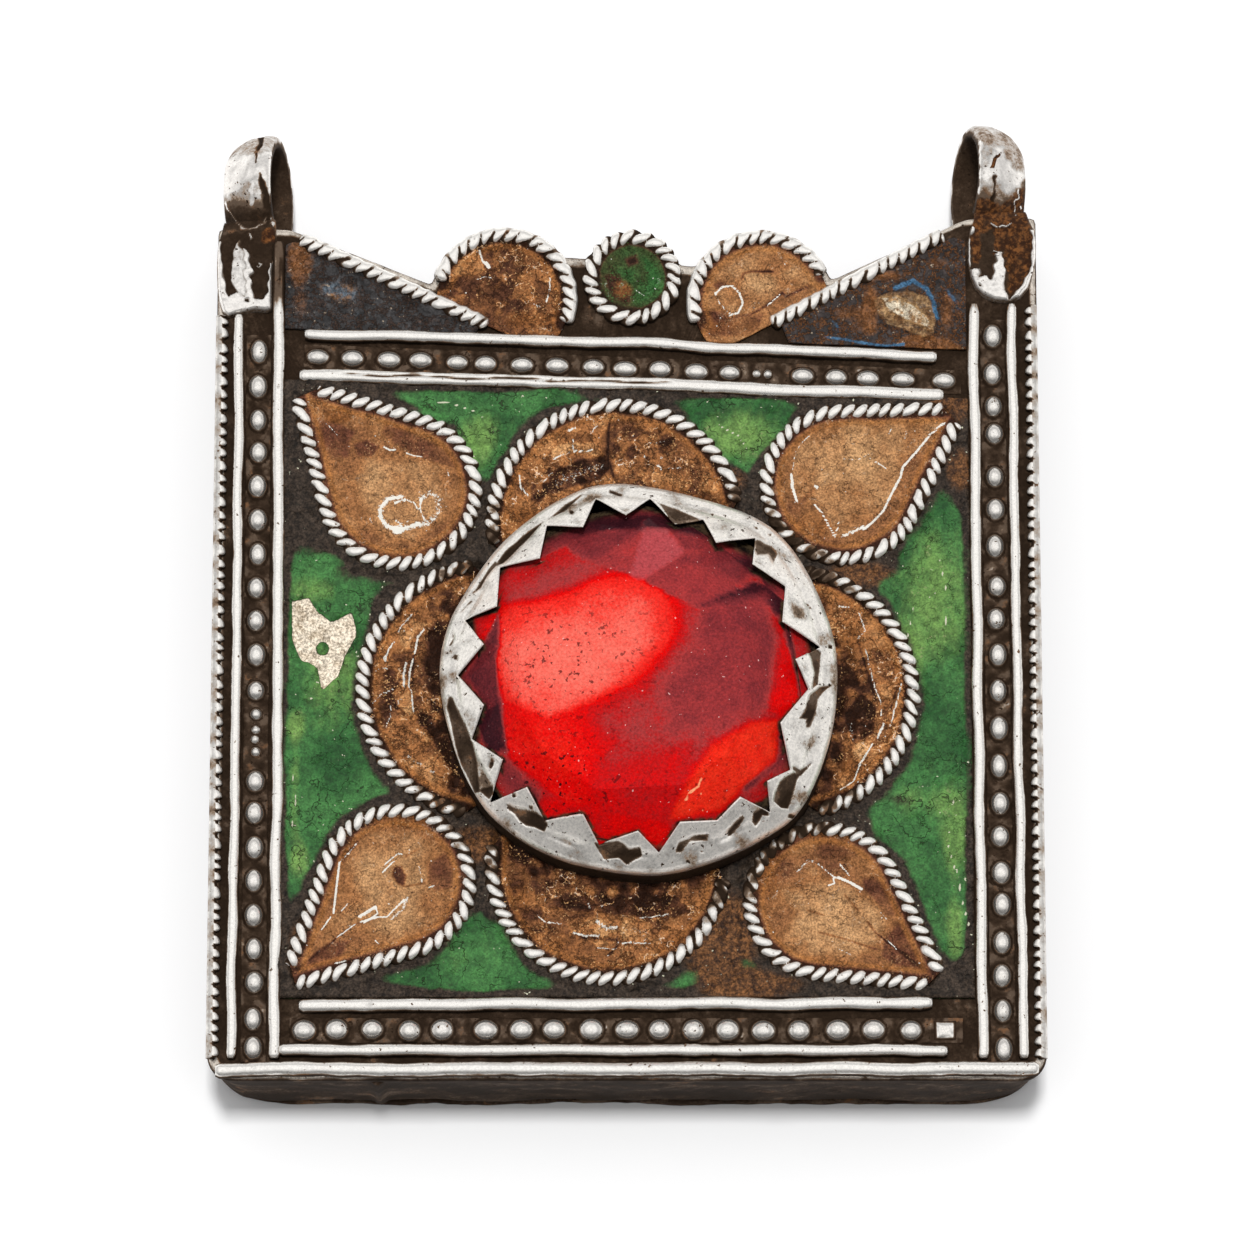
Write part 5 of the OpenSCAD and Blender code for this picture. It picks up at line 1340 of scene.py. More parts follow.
left_corner = corner_filling("blue_black_enamel", (0.015, 0.014, 0.014), (0.055, 0.085, 0.110),
                             (0.085, 0.110, 0.135), (0.12, 0.15, 0.17), 0.20)
right_corner = corner_filling("rusty_blue_enamel", (0.016, 0.012, 0.011), (0.050, 0.135, 0.24),
                              (0.42, 0.25, 0.11), (0.72, 0.62, 0.46), 0.8)
left_loop = np.array([(-21.6, 48.1), (-9.6, 47.75), (-9.2, 48.35), (-20.9, 53.75), (-21.6, 53.6)])
right_loop = np.array([(10.2, 47.15), (21.4, 46.7), (21.4, 53.9), (20.6, 54.0), (9.7, 48.4)])
pool("corner_filling_left", corner_grid(left_loop, (-18.2, 49.9)), True, crest_lines["left"], left_corner,
     "blue_enamel", "corner_enamel_left", 0.15, 0.42,
     [(1.2, 0.72, [(-19.7, 51.1), (-18.2, 51.5), (-17, 50.8), (-16.8, 49.9), (-18, 49.5), (-19.4, 50.2)])],
     [(-20.7, 52.6, 1.0, 1.6, 0.7), (-20.6, 49.6, 0.7, 1.6, 0.4), (-12.4, 48.6, 2.0, 0.5, 0.3)],
     [(0.25, 0.3, [(-19.07, 50.8), (-17.41, 50.17), (-16.94, 48.76)])], 640, base=0.0)
pool("corner_filling_right", corner_grid(right_loop, (18.0, 49.6)), True, crest_lines["right"], right_corner,
     "dark_enamel", "corner_enamel_right", 0.15, 0.45,
     [
         (0.3, 0.62, [(15.5, 50), (16.6, 50.5), (17.8, 50.6), (19, 50.2), (19.6, 49.1), (19.4, 47.5),
          (18.6, 47.4), (17.3, 48), (16.3, 48.3), (15.7, 49.1)]),
         (0.3, 1.02, [(16.1, 50), (17, 50.2), (18.2, 49.5), (19, 48.8), (19.3, 47.8), (18.2, 48.3),
          (17, 48.9), (16.3, 49.4)]), (0.3, 0.5, [(19.7, 46.8), (21.3, 46.9), (21.3, 45.8), (20, 45.8)])],
     [
         (15.4, 49.7, 0.6, 1.6, 0.7), (18.5, 47.2, 1.6, 0.5, 0.9), (20.2, 49.2, 0.5, 1.6, 0.6),
         (13.9, 49.1, 1.2, 0.7, 0.5), (19.6, 52.4, 1.0, 0.4, 0.5), (16.3, 51.5, 1.4, 0.4, 0.6),
         (20.4, 46.3, 1.0, 0.8, 1.2), (15, 48, 1.0, 0.8, 0.4)],
     [
         (0.2, 0.8, [(16.95, 50.72), (18.08, 51.19), (18.9, 50.72), (19.35, 49.86), (19.56, 48.76)]),
         (0.14, 0.7, [(12.64, 47.51), (13.84, 47.32), (14.89, 47.12), (16.24, 46.93), (17.44, 47.04)]),
         (0.25, 0.5, [(20.18, 50.64), (20.63, 50.01), (20.92, 49.39)]),
         (0.15, 0.5, [(12.95, 48.6), (13.54, 47.82)])], 650, base=0.0, relief=0.30)

# Bezel: a strip of silver bent round the stone, its upper edge cut into nineteen teeth that are
# pressed down over it. Tips and notches lie where they do on the real piece.
bezel_paint = silver("pitted_bezel_silver", tint=(0.94, 0.895, 0.83), pits=0.70, shine=0.30, grain=0.12,
                     metal=0.70)
tips = np.array([
    (-2.72, 33.66), (-0.06, 34.49), (2.97, 33.92), (5.5, 32.57), (7.73, 31.28), (9.56, 27.62),
    (10.36, 25.31), (9.4, 21.22), (8.59, 17.68), (6.93, 16.67), (3.25, 15.1), (0.67, 14.6), (-2.7, 15.6),
    (-6.13, 17.29), (-7.61, 19.06), (-8.79, 22.46), (-8.81, 26.26), (-8.02, 28.68), (-5.38, 31.67)])
notches = np.array([
    (-1.93, 35.86), (1.43, 35.93), (4.72, 34.45), (7.94, 33.29), (9.78, 30.09), (11.93, 26.46),
    (11.17, 23.6), (8.79, 16.01), (5.53, 15.32), (1.96, 13.44), (-1.72, 13.94), (-5.04, 15.38),
    (-8.42, 16.71), (-9.55, 20.56), (-10.43, 24.61), (-10.02, 28.18), (-7.87, 31.5), (-4.96, 34.13),
    (10.03, 18.53)])
hoop = np.array([
    (-1.68, 37.1), (-0.44, 37.17), (1.43, 36.91), (3.93, 36.33), (5.8, 35.81), (8.28, 34.85),
    (9.52, 33.88), (10.76, 32.27), (11.68, 30.35), (12.48, 28.42), (12.96, 26.51), (13.01, 24.59),
    (12.87, 22.68), (12.55, 20.78), (11.92, 18.88), (11.42, 17.61), (10.67, 16.22), (9.43, 15.21),
    (7.58, 14.14), (5.73, 13.32), (3.88, 12.69), (2.03, 12.31), (0.18, 12.38), (-1.66, 12.69),
    (-3.51, 13.07), (-5.36, 13.82), (-6.9, 14.77), (-8.45, 16.03), (-9.38, 17.29), (-10.0, 18.56),
    (-10.63, 20.14), (-11.13, 22.05), (-11.58, 23.96), (-11.59, 25.87), (-11.29, 27.47), (-10.68, 29.06),
    (-9.88, 30.35), (-8.83, 31.95), (-7.59, 33.56), (-6.04, 34.85), (-4.49, 35.94), (-2.93, 36.78)])


def by_angle(points):
    """The points in order round the bezel's middle, with their angles and distances."""
    a = np.arctan2(points[:, 1] - RIM[1], points[:, 0] - RIM[0])
    order = np.argsort(a)
    return a[order], from_middle(*points.T)[order], points[order]


hoop_a, hoop_r = by_angle(hoop)[:2]
knots = by_angle(np.concatenate([tips, notches]))[2]
steps = 24
share = (np.arange(steps) / steps)[None, :, None]
edge = (knots[:, None] * (1 - share) + np.roll(knots, -1, 0)[:, None] * share).reshape(-1, 2)
edge_a = np.arctan2(edge[:, 1] - RIM[1], edge[:, 0] - RIM[0])
edge_r = from_middle(*edge.T)
rim_r = np.interp(edge_a, hoop_a, hoop_r, period=2 * np.pi)
rim_r = sum(np.roll(rim_r, k) for k in range(-17, 18)) / 35
reach_in = (rim_r - edge_r)[None]
f = np.concatenate([[0, 0.012, 0.03, 0.055], np.linspace(0.085, 1, 24)])[:, None]
inward = reach_in * (1 - f)
top_z = 12.25 + 0.88 * np.maximum(inward - 0.45, 0) - 0.55 * (np.maximum(0.55 - inward, 0) / 0.55) ** 2
rounded = np.minimum(reach_in * f / 0.16, 1)
top_z -= 0.13 * (1 - rounded) ** 2
valley = np.exp(-((inward - 0.95) / 0.22) ** 2) * (0.6 + 0.4 * waves(edge_a * 11, 5, 703))
top_z -= 0.15 * valley
wall_r = rim_r[None] + np.array([0.0, -0.04, -0.10, -0.05, 0.0, 0.04])[:, None]
wall_z = np.array([11.45, 11.1, 10.4, 9.6, 9.0, SEAT])[:, None] * np.ones_like(rim_r)[None]
under_r = np.concatenate([(rim_r - 0.60)[None], (rim_r - 0.60)[None], edge_r[None] + 0.10])
under_z = np.concatenate([SEAT + 0 * rim_r[None], 11.6 + 0 * rim_r[None], top_z[:1] - 0.30])
r = np.concatenate([rim_r[None] - inward, wall_r, under_r])
z = np.concatenate([top_z, wall_z, under_z])
x = RIM[0] + r * np.cos(edge_a)
y = RIM[1] + r * np.sin(edge_a)
flat = np.stack([x, y], -1)
# Ragged gashes and hollows in the bezel, cut in and darkened: painted shade in them, with dirt.
shaded_gash = layered(x, y, 0.0, [
    (0.15, 1, [(-4.9, 34.7), (-4.2, 35.3), (-3.6, 35.8), (-2.8, 36.4), (-2.9, 36.2), (-3.5, 35.6),
     (-3.9, 35.2), (-4.4, 34.9)]),
    (0.15, 1, [(-5.2, 34.5), (-5.9, 34), (-6.6, 33.5), (-7.4, 32.8), (-8, 32), (-8.1, 31.7), (-7.7, 31.8),
     (-7, 32.5), (-6.3, 33.2), (-5.6, 34)]),
    (0.12, 0.9, [(-8.2, 32), (-8.6, 31.5), (-8.9, 31), (-9.3, 30.3), (-9.6, 30), (-9.5, 30), (-9.1, 30.3),
     (-8.7, 31), (-8.3, 31.5), (-8, 31.8)]),
    (0.12, 0.7, [(-9.7, 29.5), (-10.4, 28.8), (-10.2, 28.8), (-9.6, 29.4)]),
    (0.1, 1, [(-3.6, 35.1), (-3.4, 35.1), (-3.3, 34.9), (-3.5, 34.8)]),
    (0.12, 0.9, [(-10.9, 27.6), (-10.7, 27.3), (-10.7, 27), (-10.9, 26.6), (-11, 26.7), (-10.8, 27.1)]),
    (0.1, 0.8, [(-10.7, 25.9), (-10.5, 25.9), (-10.5, 25.6), (-10.7, 25.7)]),
    (0.1, 0.8, [(-1.1, 36.6), (-0.3, 36.2), (-0.4, 36.1), (-1.1, 36.4)]),
    (0.15, 0.85, [(2, 35.6), (3.4, 35), (4.5, 34.5), (4.6, 34.3), (4.1, 34), (2.9, 34), (2.5, 34.6)]),
    (0.2, 0.8, [(7.8, 33.2), (8.3, 33.1), (9, 32.8), (9.3, 32.4), (9.1, 31.6), (8.8, 32.3), (8.1, 32.1),
     (7.8, 32.5)]), (0.1, 1, [(5.2, 35), (5.4, 35), (5.3, 34.8)]),
    (0.1, 0.9, [(7.9, 34.2), (8.1, 34.2), (8.1, 34)]), (0.1, 0.9, [(8.8, 33.8), (9, 33.8), (8.9, 33.6)]),
    (0.1, 1, [(11, 29.3), (11.2, 29.2), (11.5, 28.9), (11.3, 29)]),
    (0.1, 1, [(12.5, 26.7), (12.7, 26.7), (12.7, 26.5), (12.5, 26.5)]),
    (0.15, 1, [(10.7, 26.8), (11.5, 26.5), (12, 26.1), (11.9, 25.1), (11.8, 24), (11.4, 23.6),
     (11.6, 24.7), (11.4, 25.6), (11, 26.2)]),
    (0.15, 1, [(11.3, 23.3), (11.9, 23.9), (12.6, 24.1), (12.1, 23.6), (11.8, 23.1), (11.6, 22.2),
     (11.3, 21.4), (11.1, 21.1), (11.1, 21.8), (10.7, 21.7), (11, 22.2), (11.1, 22.7)]),
    (0.15, 1, [(10.3, 18.4), (10.7, 18.4), (10.5, 18.1), (10.2, 17.2), (9.9, 16.3), (9.5, 16.3),
     (9, 16.6), (9.1, 17.1), (9.4, 17.7), (9.8, 18.1)]),
    (0.1, 0.8, [(10.2, 18.8), (10.7, 18.6), (11.4, 19.2), (11.4, 19.1), (10.7, 18.3), (10.2, 18.6)]),
    (0.1, 1, [(10, 16), (10.4, 16), (10.3, 15.8), (9.9, 15.8)]),
    (0.15, 1, [(7.8, 15.8), (8.3, 16.1), (8.7, 16), (8.7, 15.8), (8.3, 15.8), (8.1, 15.4), (7.9, 15.1),
     (7.7, 15.4)]),
    (0.15, 1, [(6.6, 15.2), (7.1, 15.6), (7.2, 15.5), (6.9, 15.1), (6.4, 14.6), (6.2, 14.5),
     (6.2, 14.8)]),
    (0.15, 0.95, [(3.2, 14), (4.1, 14.4), (5, 14.5), (4.9, 14.2), (3.9, 14.1), (3.3, 13.5), (3, 13.5)]),
    (0.1, 0.9, [(4.5, 13.6), (4.7, 13.6), (4.6, 13.5)]),
    (0.15, 0.9, [(-11, 23.4), (-10.8, 23.3), (-10.5, 22.5), (-10, 21.5), (-9.5, 20.2), (-9.3, 19.4),
     (-9.2, 18.5), (-9.1, 17.4), (-9.4, 17.4), (-9.7, 18.1), (-10.2, 19.1), (-10.6, 20.4), (-10.9, 21.8),
     (-11.1, 22.8)]), (0.1, 0.9, [(-8.5, 18.8), (-8.3, 19.2), (-8.2, 18.9), (-8.4, 18.5)]),
    (0.12, 0.8, [(-9.1, 17.5), (-8.3, 17.6), (-8.2, 17.2), (-8.5, 16.9)]),
    (0.15, 1, [(-7.4, 16.5), (-7, 16.3), (-6.2, 16.1), (-5.8, 15.9), (-5.1, 15.5), (-4.9, 15.1),
     (-5.1, 14.8), (-5.7, 15.1), (-6.2, 15.2), (-6.6, 15.5), (-6.9, 15.9), (-7.3, 16.2)]),
    (0.1, 1, [(-7.1, 17.1), (-6.9, 17), (-6.8, 16.8), (-7, 16.8)]),
    (0.1, 1, [(-6.1, 16.3), (-5.8, 16.2), (-5.8, 16), (-6, 16.1)]),
    (0.12, 1, [(-2, 14), (-1.5, 14), (-0.6, 14.1), (-0.2, 13.9), (0.1, 13.6), (0.8, 13.7), (0.9, 13.3),
     (0.5, 13.1), (0, 12.8), (-0.5, 13.2), (-1.4, 13.1), (-1.7, 13.5)]),
    (0.1, 0.8, [(-3.8, 15.6), (-3.6, 15.6), (-3.6, 15.4)]),
    (0.1, 0.8, [(-7.1, 14.9), (-6.9, 14.9), (-6.9, 14.7)])])
top_rows, outside_rows = len(top_z), len(top_z) + len(wall_z)
z[:top_rows] += (0.035 * waves(flat, 4, 700) + 0.010 * waves(flat, 1.0, 701) - 0.22 * shaded_gash)[:top_rows]
wear = 0.77 + 0.11 * waves(flat, 2.2, 702) - 0.60 * shaded_gash
wear[top_rows:top_rows + 2] = 0.72
# The outer wall is dark: painted shade with dirt.
wear[top_rows + 2:outside_rows] = 0.16
wear[outside_rows:] = 0.1
# Darker in the hollow between lip and teeth: painted shade.
wear[:top_rows] -= 0.14 * valley
# A dark line along the tooth edges: painted shade in the gap against the stone.
wear[0] -= 0.40
# A bright line just inside the tooth edges: painted highlight on the bevel.
wear[2:5] += 0.14
spots = np.stack([x, y, z], -1)
quads = sheet_quads(len(z), len(edge_a), wrap_rows=True, wrap_columns=True)
add_mesh("toothed_bezel", spots.reshape(-1, 3), quads, [], bezel_paint, {"wear": wear}, "bezel_silver",
         "bezel")

# Stone: clear red glass, cut with a broad table and low crown over foil. The light and dark
# patches are what the foil and the facets below throw back, painted into its colour as painted reflection.
glass = Paint("red_glass")
cloud = glass.noise(1.6, 4, 0.6) - 0.5
grain = glass.noise(0.17, 3, 0.75) - 0.5
# Painted reflection: the light and dark that the foil and lower facets throw back, as a colour field.
painted_reflection = glass.field("painted_reflection") + cloud * 0.22
painted_reflection = painted_reflection + grain * 0.26
red = glass.ramp(painted_reflection, (0.0, (0.014, 0.004, 0.007)), (0.16, (0.046, 0.009, 0.013)),
                 (0.30, (0.18, 0.022, 0.026)), (0.42, (0.34, 0.034, 0.034)), (0.52, (0.43, 0.008, 0.009)),
                 (0.64, (0.64, 0.001, 0.001)), (0.80, (0.76, 0.030, 0.020)), (0.97, (0.84, 0.15, 0.11)))
# Orange patches in the thrown-back light: painted reflection.
orange = glass.ease(glass.field("orange") + glass.noise(0.7, 4, 0.6) * 0.5, 0.45, 1.35)
red = glass.mix(orange, red, (0.90, 0.055, 0.018))
# A pale facet near the top: painted reflection.
red = glass.mix(glass.field("pale") * 0.8, red, (0.36, 0.065, 0.072))
speck = glass.ease(glass.noise(0.36, 2, 0.6, shift=0.004), 0.61, 0.66) * glass.field("specks")
red = glass.mix(glass.math("MULTIPLY", speck, 0.8, clamp=True), red, (0.030, 0.004, 0.005))
# Tiny bright sparks: painted glints. The pale scratches mixed in with them are real.
painted_sparkle = glass.ease(glass.noise(0.22, 1, 0.5, shift=0.009), 0.76, 0.80) * 0.7
scratch = glass.ease(glass.field("scratch") + glass.noise(0.3, 2) * 0.4, 0.7, 0.95)
red = glass.mix(glass.math("MAXIMUM", painted_sparkle, scratch), red, (0.80, 0.50, 0.47))
vein = glass.ease(glass.field("vein") + glass.noise(0.3, 2) * 0.4, 0.65, 0.95)
red = glass.mix(vein, red, (0.95, 0.36, 0.18))
red = glass.mottle(red, 0.16, 0.80, 1.14, 0.006)
# Dark along the teeth and round the stone's edge: painted shade under the bezel, with dirt.
grime = glass.ease(glass.noise(0.5, 4, 0.7), 0.4, 0.65)
grime = glass.mix(grime, (0.010, 0.007, 0.006), (0.070, 0.048, 0.026))
red = glass.mix(glass.ease(glass.field("dirt"), 0.3, 0.8), red, grime)
glass.use(Base_Color=red, Roughness=0.10, Specular_IOR_Level=0.03)
table_corners = [
    (0.06, 30.4), (0.86, 30.01), (4.19, 28.36), (8.31, 27.47), (8.83, 21.66), (7.04, 18.01),
    (3.85, 15.75), (-2.26, 15.38), (-6.06, 18.01), (-7.79, 21.03), (-8.05, 26.08), (-5.97, 28.74),
    (-2.9, 30.01)]
crown = [
    (1.11, 33.47), (2.97, 33.35), (3.52, 31.84), (6.99, 31.83), (10.06, 29.05), (10.89, 22.7),
    (9.08, 17.65), (4.47, 14.01), (-0.43, 13.76), (-5.33, 15.27), (-8.6, 18.91), (-9.19, 26.5),
    (-7.23, 30.96), (-3.53, 33.14)]
table_height = 15.25
crown_heights = [13.9, 13.9, 14.4] + [12.95] * 3 + [12.6] * 5 + [12.95] * 3
girdle = [RIM + 11.4 * np.array([math.cos(k * math.pi / 8), math.sin(k * math.pi / 8)]) for k in range(16)]
girdle_heights = (11.9, 11.6)
point_height = 8.85
facets = bmesh.new()
for spot in table_corners:
    facets.verts.new((*(RIM + 0.84 * (np.array(spot) - RIM)), table_height))
for spot, height in zip(crown, crown_heights):
    facets.verts.new((*spot, height))
for spot in girdle:
    for height in girdle_heights:
        facets.verts.new((*spot, height))
facets.verts.new((*RIM, point_height))
bmesh.ops.convex_hull(facets, input=facets.verts)
bmesh.ops.delete(facets, geom=[v for v in facets.verts if not v.link_faces], context="VERTS")
for _ in range(5):
    long_edges = [e for e in facets.edges if e.calc_length() > 0.45 and max(v.co.z for v in e.verts) > 13]
    bmesh.ops.subdivide_edges(facets, edges=long_edges, cuts=1)
    bmesh.ops.triangulate(facets, faces=facets.faces)
bmesh.ops.recalc_face_normals(facets, faces=facets.faces)
facets.verts.ensure_lookup_table()
stone_spots = np.array([v.co for v in facets.verts])
stone_faces = [[v.index for v in f.verts] for f in facets.faces]
facets.free()
x = stone_spots[:, 0]
y = stone_spots[:, 1] - 0.25 * (15.2 - stone_spots[:, 2])

# Patches of painted reflection in the stone, from dark maroon to hot red.
painted_reflection_field = layered(x, y, 0.50, [
    (1.2, 0.68, [(-7.98, 26.46), (-7.68, 28.36), (-5.23, 29.46), (-2.32, 30.25), (-0.48, 30.73),
     (0.97, 30.09), (1.97, 29.46), (3.19, 28.36), (3.5, 26.93), (2.27, 24.89), (0.44, 23.31),
     (-4.9, 21.35), (-7.2, 22.37), (-7.97, 24.89)]),
    (3.4, 0.8, [(-8.44, 26.46), (-7.68, 27.88), (-5.23, 27.88), (-1.71, 29.15), (1.05, 29.78),
     (2.43, 28.2), (2.12, 25.52), (0.44, 23.47), (-4.9, 21.12), (-7.2, 22.37), (-8.43, 24.89)]),
    (5.2, 0.95, [(-7.21, 25.99), (-5.23, 27.25), (-2.93, 27.57), (0.44, 28.2), (1.36, 26.3),
     (0.74, 24.41), (-1.7, 22.69), (-4.45, 21.59), (-6.74, 23.16)]),
    (0.25, 0.66, [(-7.78, 22.61), (-4.9, 21.4), (-2.16, 22.34), (0.44, 23.6), (1.35, 23.79),
     (0.74, 21.59), (-1.7, 18.46), (-1.69, 15.49), (-3.83, 15.96), (-7.18, 18.77), (-7.96, 21.59)]),
    (2.4, 0.45, [(2.43, 25.52), (3.58, 26.93), (4.42, 28.04), (8.25, 28.2), (8.32, 26.46), (8.77, 24.41),
     (8.83, 21.9), (7.61, 21.12), (5.16, 20.18), (4.25, 19.24), (1.65, 19.08), (-1.7, 20.02),
     (-2.31, 21.9), (0.44, 23.31)]),
    (2.2, 0.35, [(3.5, 25.67), (5.03, 26.93), (7.33, 27.25), (7.93, 24.73), (8.07, 22.37), (5.93, 20.8),
     (3.49, 20.65), (1.96, 22.21)]),
    (1.8, 0.56, [(-2.0, 18.77), (3.48, 19.24), (4.4, 18.77), (2.72, 15.03), (-0.48, 14.71),
     (-2.3, 15.49)]),
    (0.25, 0.3, [(-4.47, 32.79), (0.98, 33.42), (0.28, 30.49), (-0.48, 30.65), (-2.94, 31.55)]),
    (0.6, 0.4, [(-2.32, 31.36), (0.98, 33.19), (0.28, 30.49), (-0.48, 30.65)]),
    (1.0, 0.42, [(-5.24, 30.57), (-2.94, 31.44), (-1.1, 30.89), (-2.93, 29.78), (-5.69, 28.83),
     (-7.38, 28.83)]),
    (0.12, 0.38, [(0.97, 30.05), (3.58, 31.81), (5.96, 32.12), (7.65, 30.57), (6.49, 29.38),
     (4.27, 28.36), (2.74, 29.07)]),
    (0.6, 0.3, [(2.89, 31.04), (3.58, 31.81), (5.96, 32.12), (7.8, 30.41), (7.03, 29.94), (5.04, 31.04)]),
    (0.25, 0.13, [(4.27, 28.36), (5.95, 29.15), (7.95, 29.94), (9.48, 29.46), (9.78, 27.88),
     (9.24, 27.72), (8.48, 28.83), (6.57, 28.48)]),
    (0.3, 0.3, [(2.59, 33.34), (3.58, 31.84), (5.2, 32.08), (5.5, 32.39), (4.43, 33.27)]),
    (0.2, 0.62, [(8.37, 28.75), (9.24, 27.8), (9.77, 26.3), (10.55, 24.1), (10.59, 22.53), (9.59, 21.35),
     (8.8, 21.74), (8.72, 24.41), (8.16, 26.46)]),
    (0.5, 0.67, [(7.68, 21.2), (9.44, 21.27), (9.3, 18.61), (7.28, 16.9), (5.76, 15.34), (2.87, 14.87),
     (2.87, 15.65), (3.94, 17.99), (5.16, 19.71)]),
    (0.25, 0.24, [(-9.95, 24.1), (-9.35, 25.04), (-8.74, 26.3), (-7.95, 27.88), (-7.82, 26.3),
     (-8.03, 24.89), (-7.76, 22.37), (-8.72, 21.9)]),
    (0.3, 0.14, [(-9.33, 20.65), (-8.72, 21.9), (-7.76, 22.37), (-7.4, 19.24), (-8.4, 19.08)]),
    (0.4, 0.1, [(-5.7, 31.36), (-3.71, 32.79), (-1.1, 33.27), (1.05, 33.34), (1.05, 34.38),
     (-2.64, 34.86), (-6.47, 32.63)]),
    (0.4, 0.12, [(1.05, 33.42), (2.9, 33.27), (5.05, 32.79), (5.2, 34.06), (1.05, 34.7)]),
    (0.4, 0.12, [(5.96, 32.12), (7.65, 30.57), (9.63, 29.46), (9.95, 31.84), (7.35, 32.95)]),
    (0.3, 0.18, [(9.7, 27.57), (10.69, 25.99), (11.13, 23.16), (10.59, 22.69), (10.55, 24.1),
     (9.89, 26.15)]),
    (0.3, 0.28, [(9.36, 21.12), (10.04, 19.08), (7.28, 16.58), (6.98, 16.9), (9.3, 18.61)]),
    (0.5, 0.62, [(-1.69, 15.41), (2.56, 14.71), (2.86, 13.16), (-1.69, 13.16)]),
    (0.4, 0.34, [(-7.49, 18.77), (-5.2, 16.43), (-5.65, 15.49), (-8.4, 17.21)]),
    (0.5, 0.6, [(-5.7, 15.5), (-5.2, 16.4), (-1.7, 15.4), (-1.7, 13.2), (-4.5, 13.8)]),
    (1.2, 0.33, [(4.5, 26.3), (4.8, 28.6), (7, 29), (8.7, 29.3), (9.3, 26.3), (8.9, 23.1), (7.9, 21.5),
     (7.1, 23.1), (6.3, 25.3)])])
# Where the thrown-back light runs orange: painted reflection.
orange_field = 0.55 * patch(x, y, 0.9, [
    (7.68, 21.2), (9.44, 21.27), (9.3, 18.61), (7.28, 16.9), (5.76, 15.34), (2.41, 14.71), (2.87, 15.96),
    (3.94, 17.99), (5.16, 19.71)])
orange_field += 0.35 * patch(x, y, 2.5, [
    (-7.65, 22.21), (-4.9, 21.12), (-2.31, 19.86), (-2.91, 16.9), (-5.66, 17.52), (-7.34, 19.71)])
# The pale facet: painted reflection.
facet_reflection_field = patch(x, y, 0.12, [(1.05, 33.34), (2.47, 33.31), (3.58, 31.84), (0.97, 30.06), (0.13, 30.41)])
speck_field = 0.25 + blobs(x, y, [
    (-3.5, 24.94, 5.0, 4.0, 0.75), (-4.1, 17.47, 4.0, 2.6, 1.0), (4.47, 17.47, 3.0, 2.0, 0.4)])
vein_field = strokes(x, y, [
    (0.055, 0.95, [(4.55, 17.68), (4.47, 17.05), (3.78, 16.58), (3.48, 15.8), (2.87, 15.18)]),
    (0.04, 0.8, [(4.47, 16.9), (4.62, 16.27), (4.66, 15.49)]), (0.03, 0.6, [(8.52, 21.51), (8.68, 21.2)])])
scratch_field = strokes(x, y, [
    (0.035, 0.8, [(-5.46, 29.78), (-5.62, 29.38), (-6.0, 29.07)]),
    (0.06, 0.9, [(-0.25, 30.09), (0.05, 30.25)]), (0.045, 0.8, [(0.89, 21.24), (1.12, 21.12)]),
    (0.03, 0.7, [(-2.71, 31.6), (-1.71, 31.04), (-0.48, 30.65)])])
# Darkest against the teeth and beyond the stone's edge: painted shade under the bezel, with dirt.
near_teeth = np.maximum(gap_to(*stone_spots[:, :2].T, edge) - 0.10, 0)
shade_and_dirt_field = 0.8 * np.exp(-(near_teeth / 0.15) ** 2) + ease(from_middle(*stone_spots[:, :2].T), 10.7, 11.2)
fields = {"painted_reflection": painted_reflection_field, "orange": orange_field, "pale": facet_reflection_field, "specks": speck_field,
          "vein": vein_field, "scratch": scratch_field, "dirt": shade_and_dirt_field}
add_mesh("red_stone", stone_spots, [], stone_faces, glass, fields, "red_glass", "stone", flat=True)
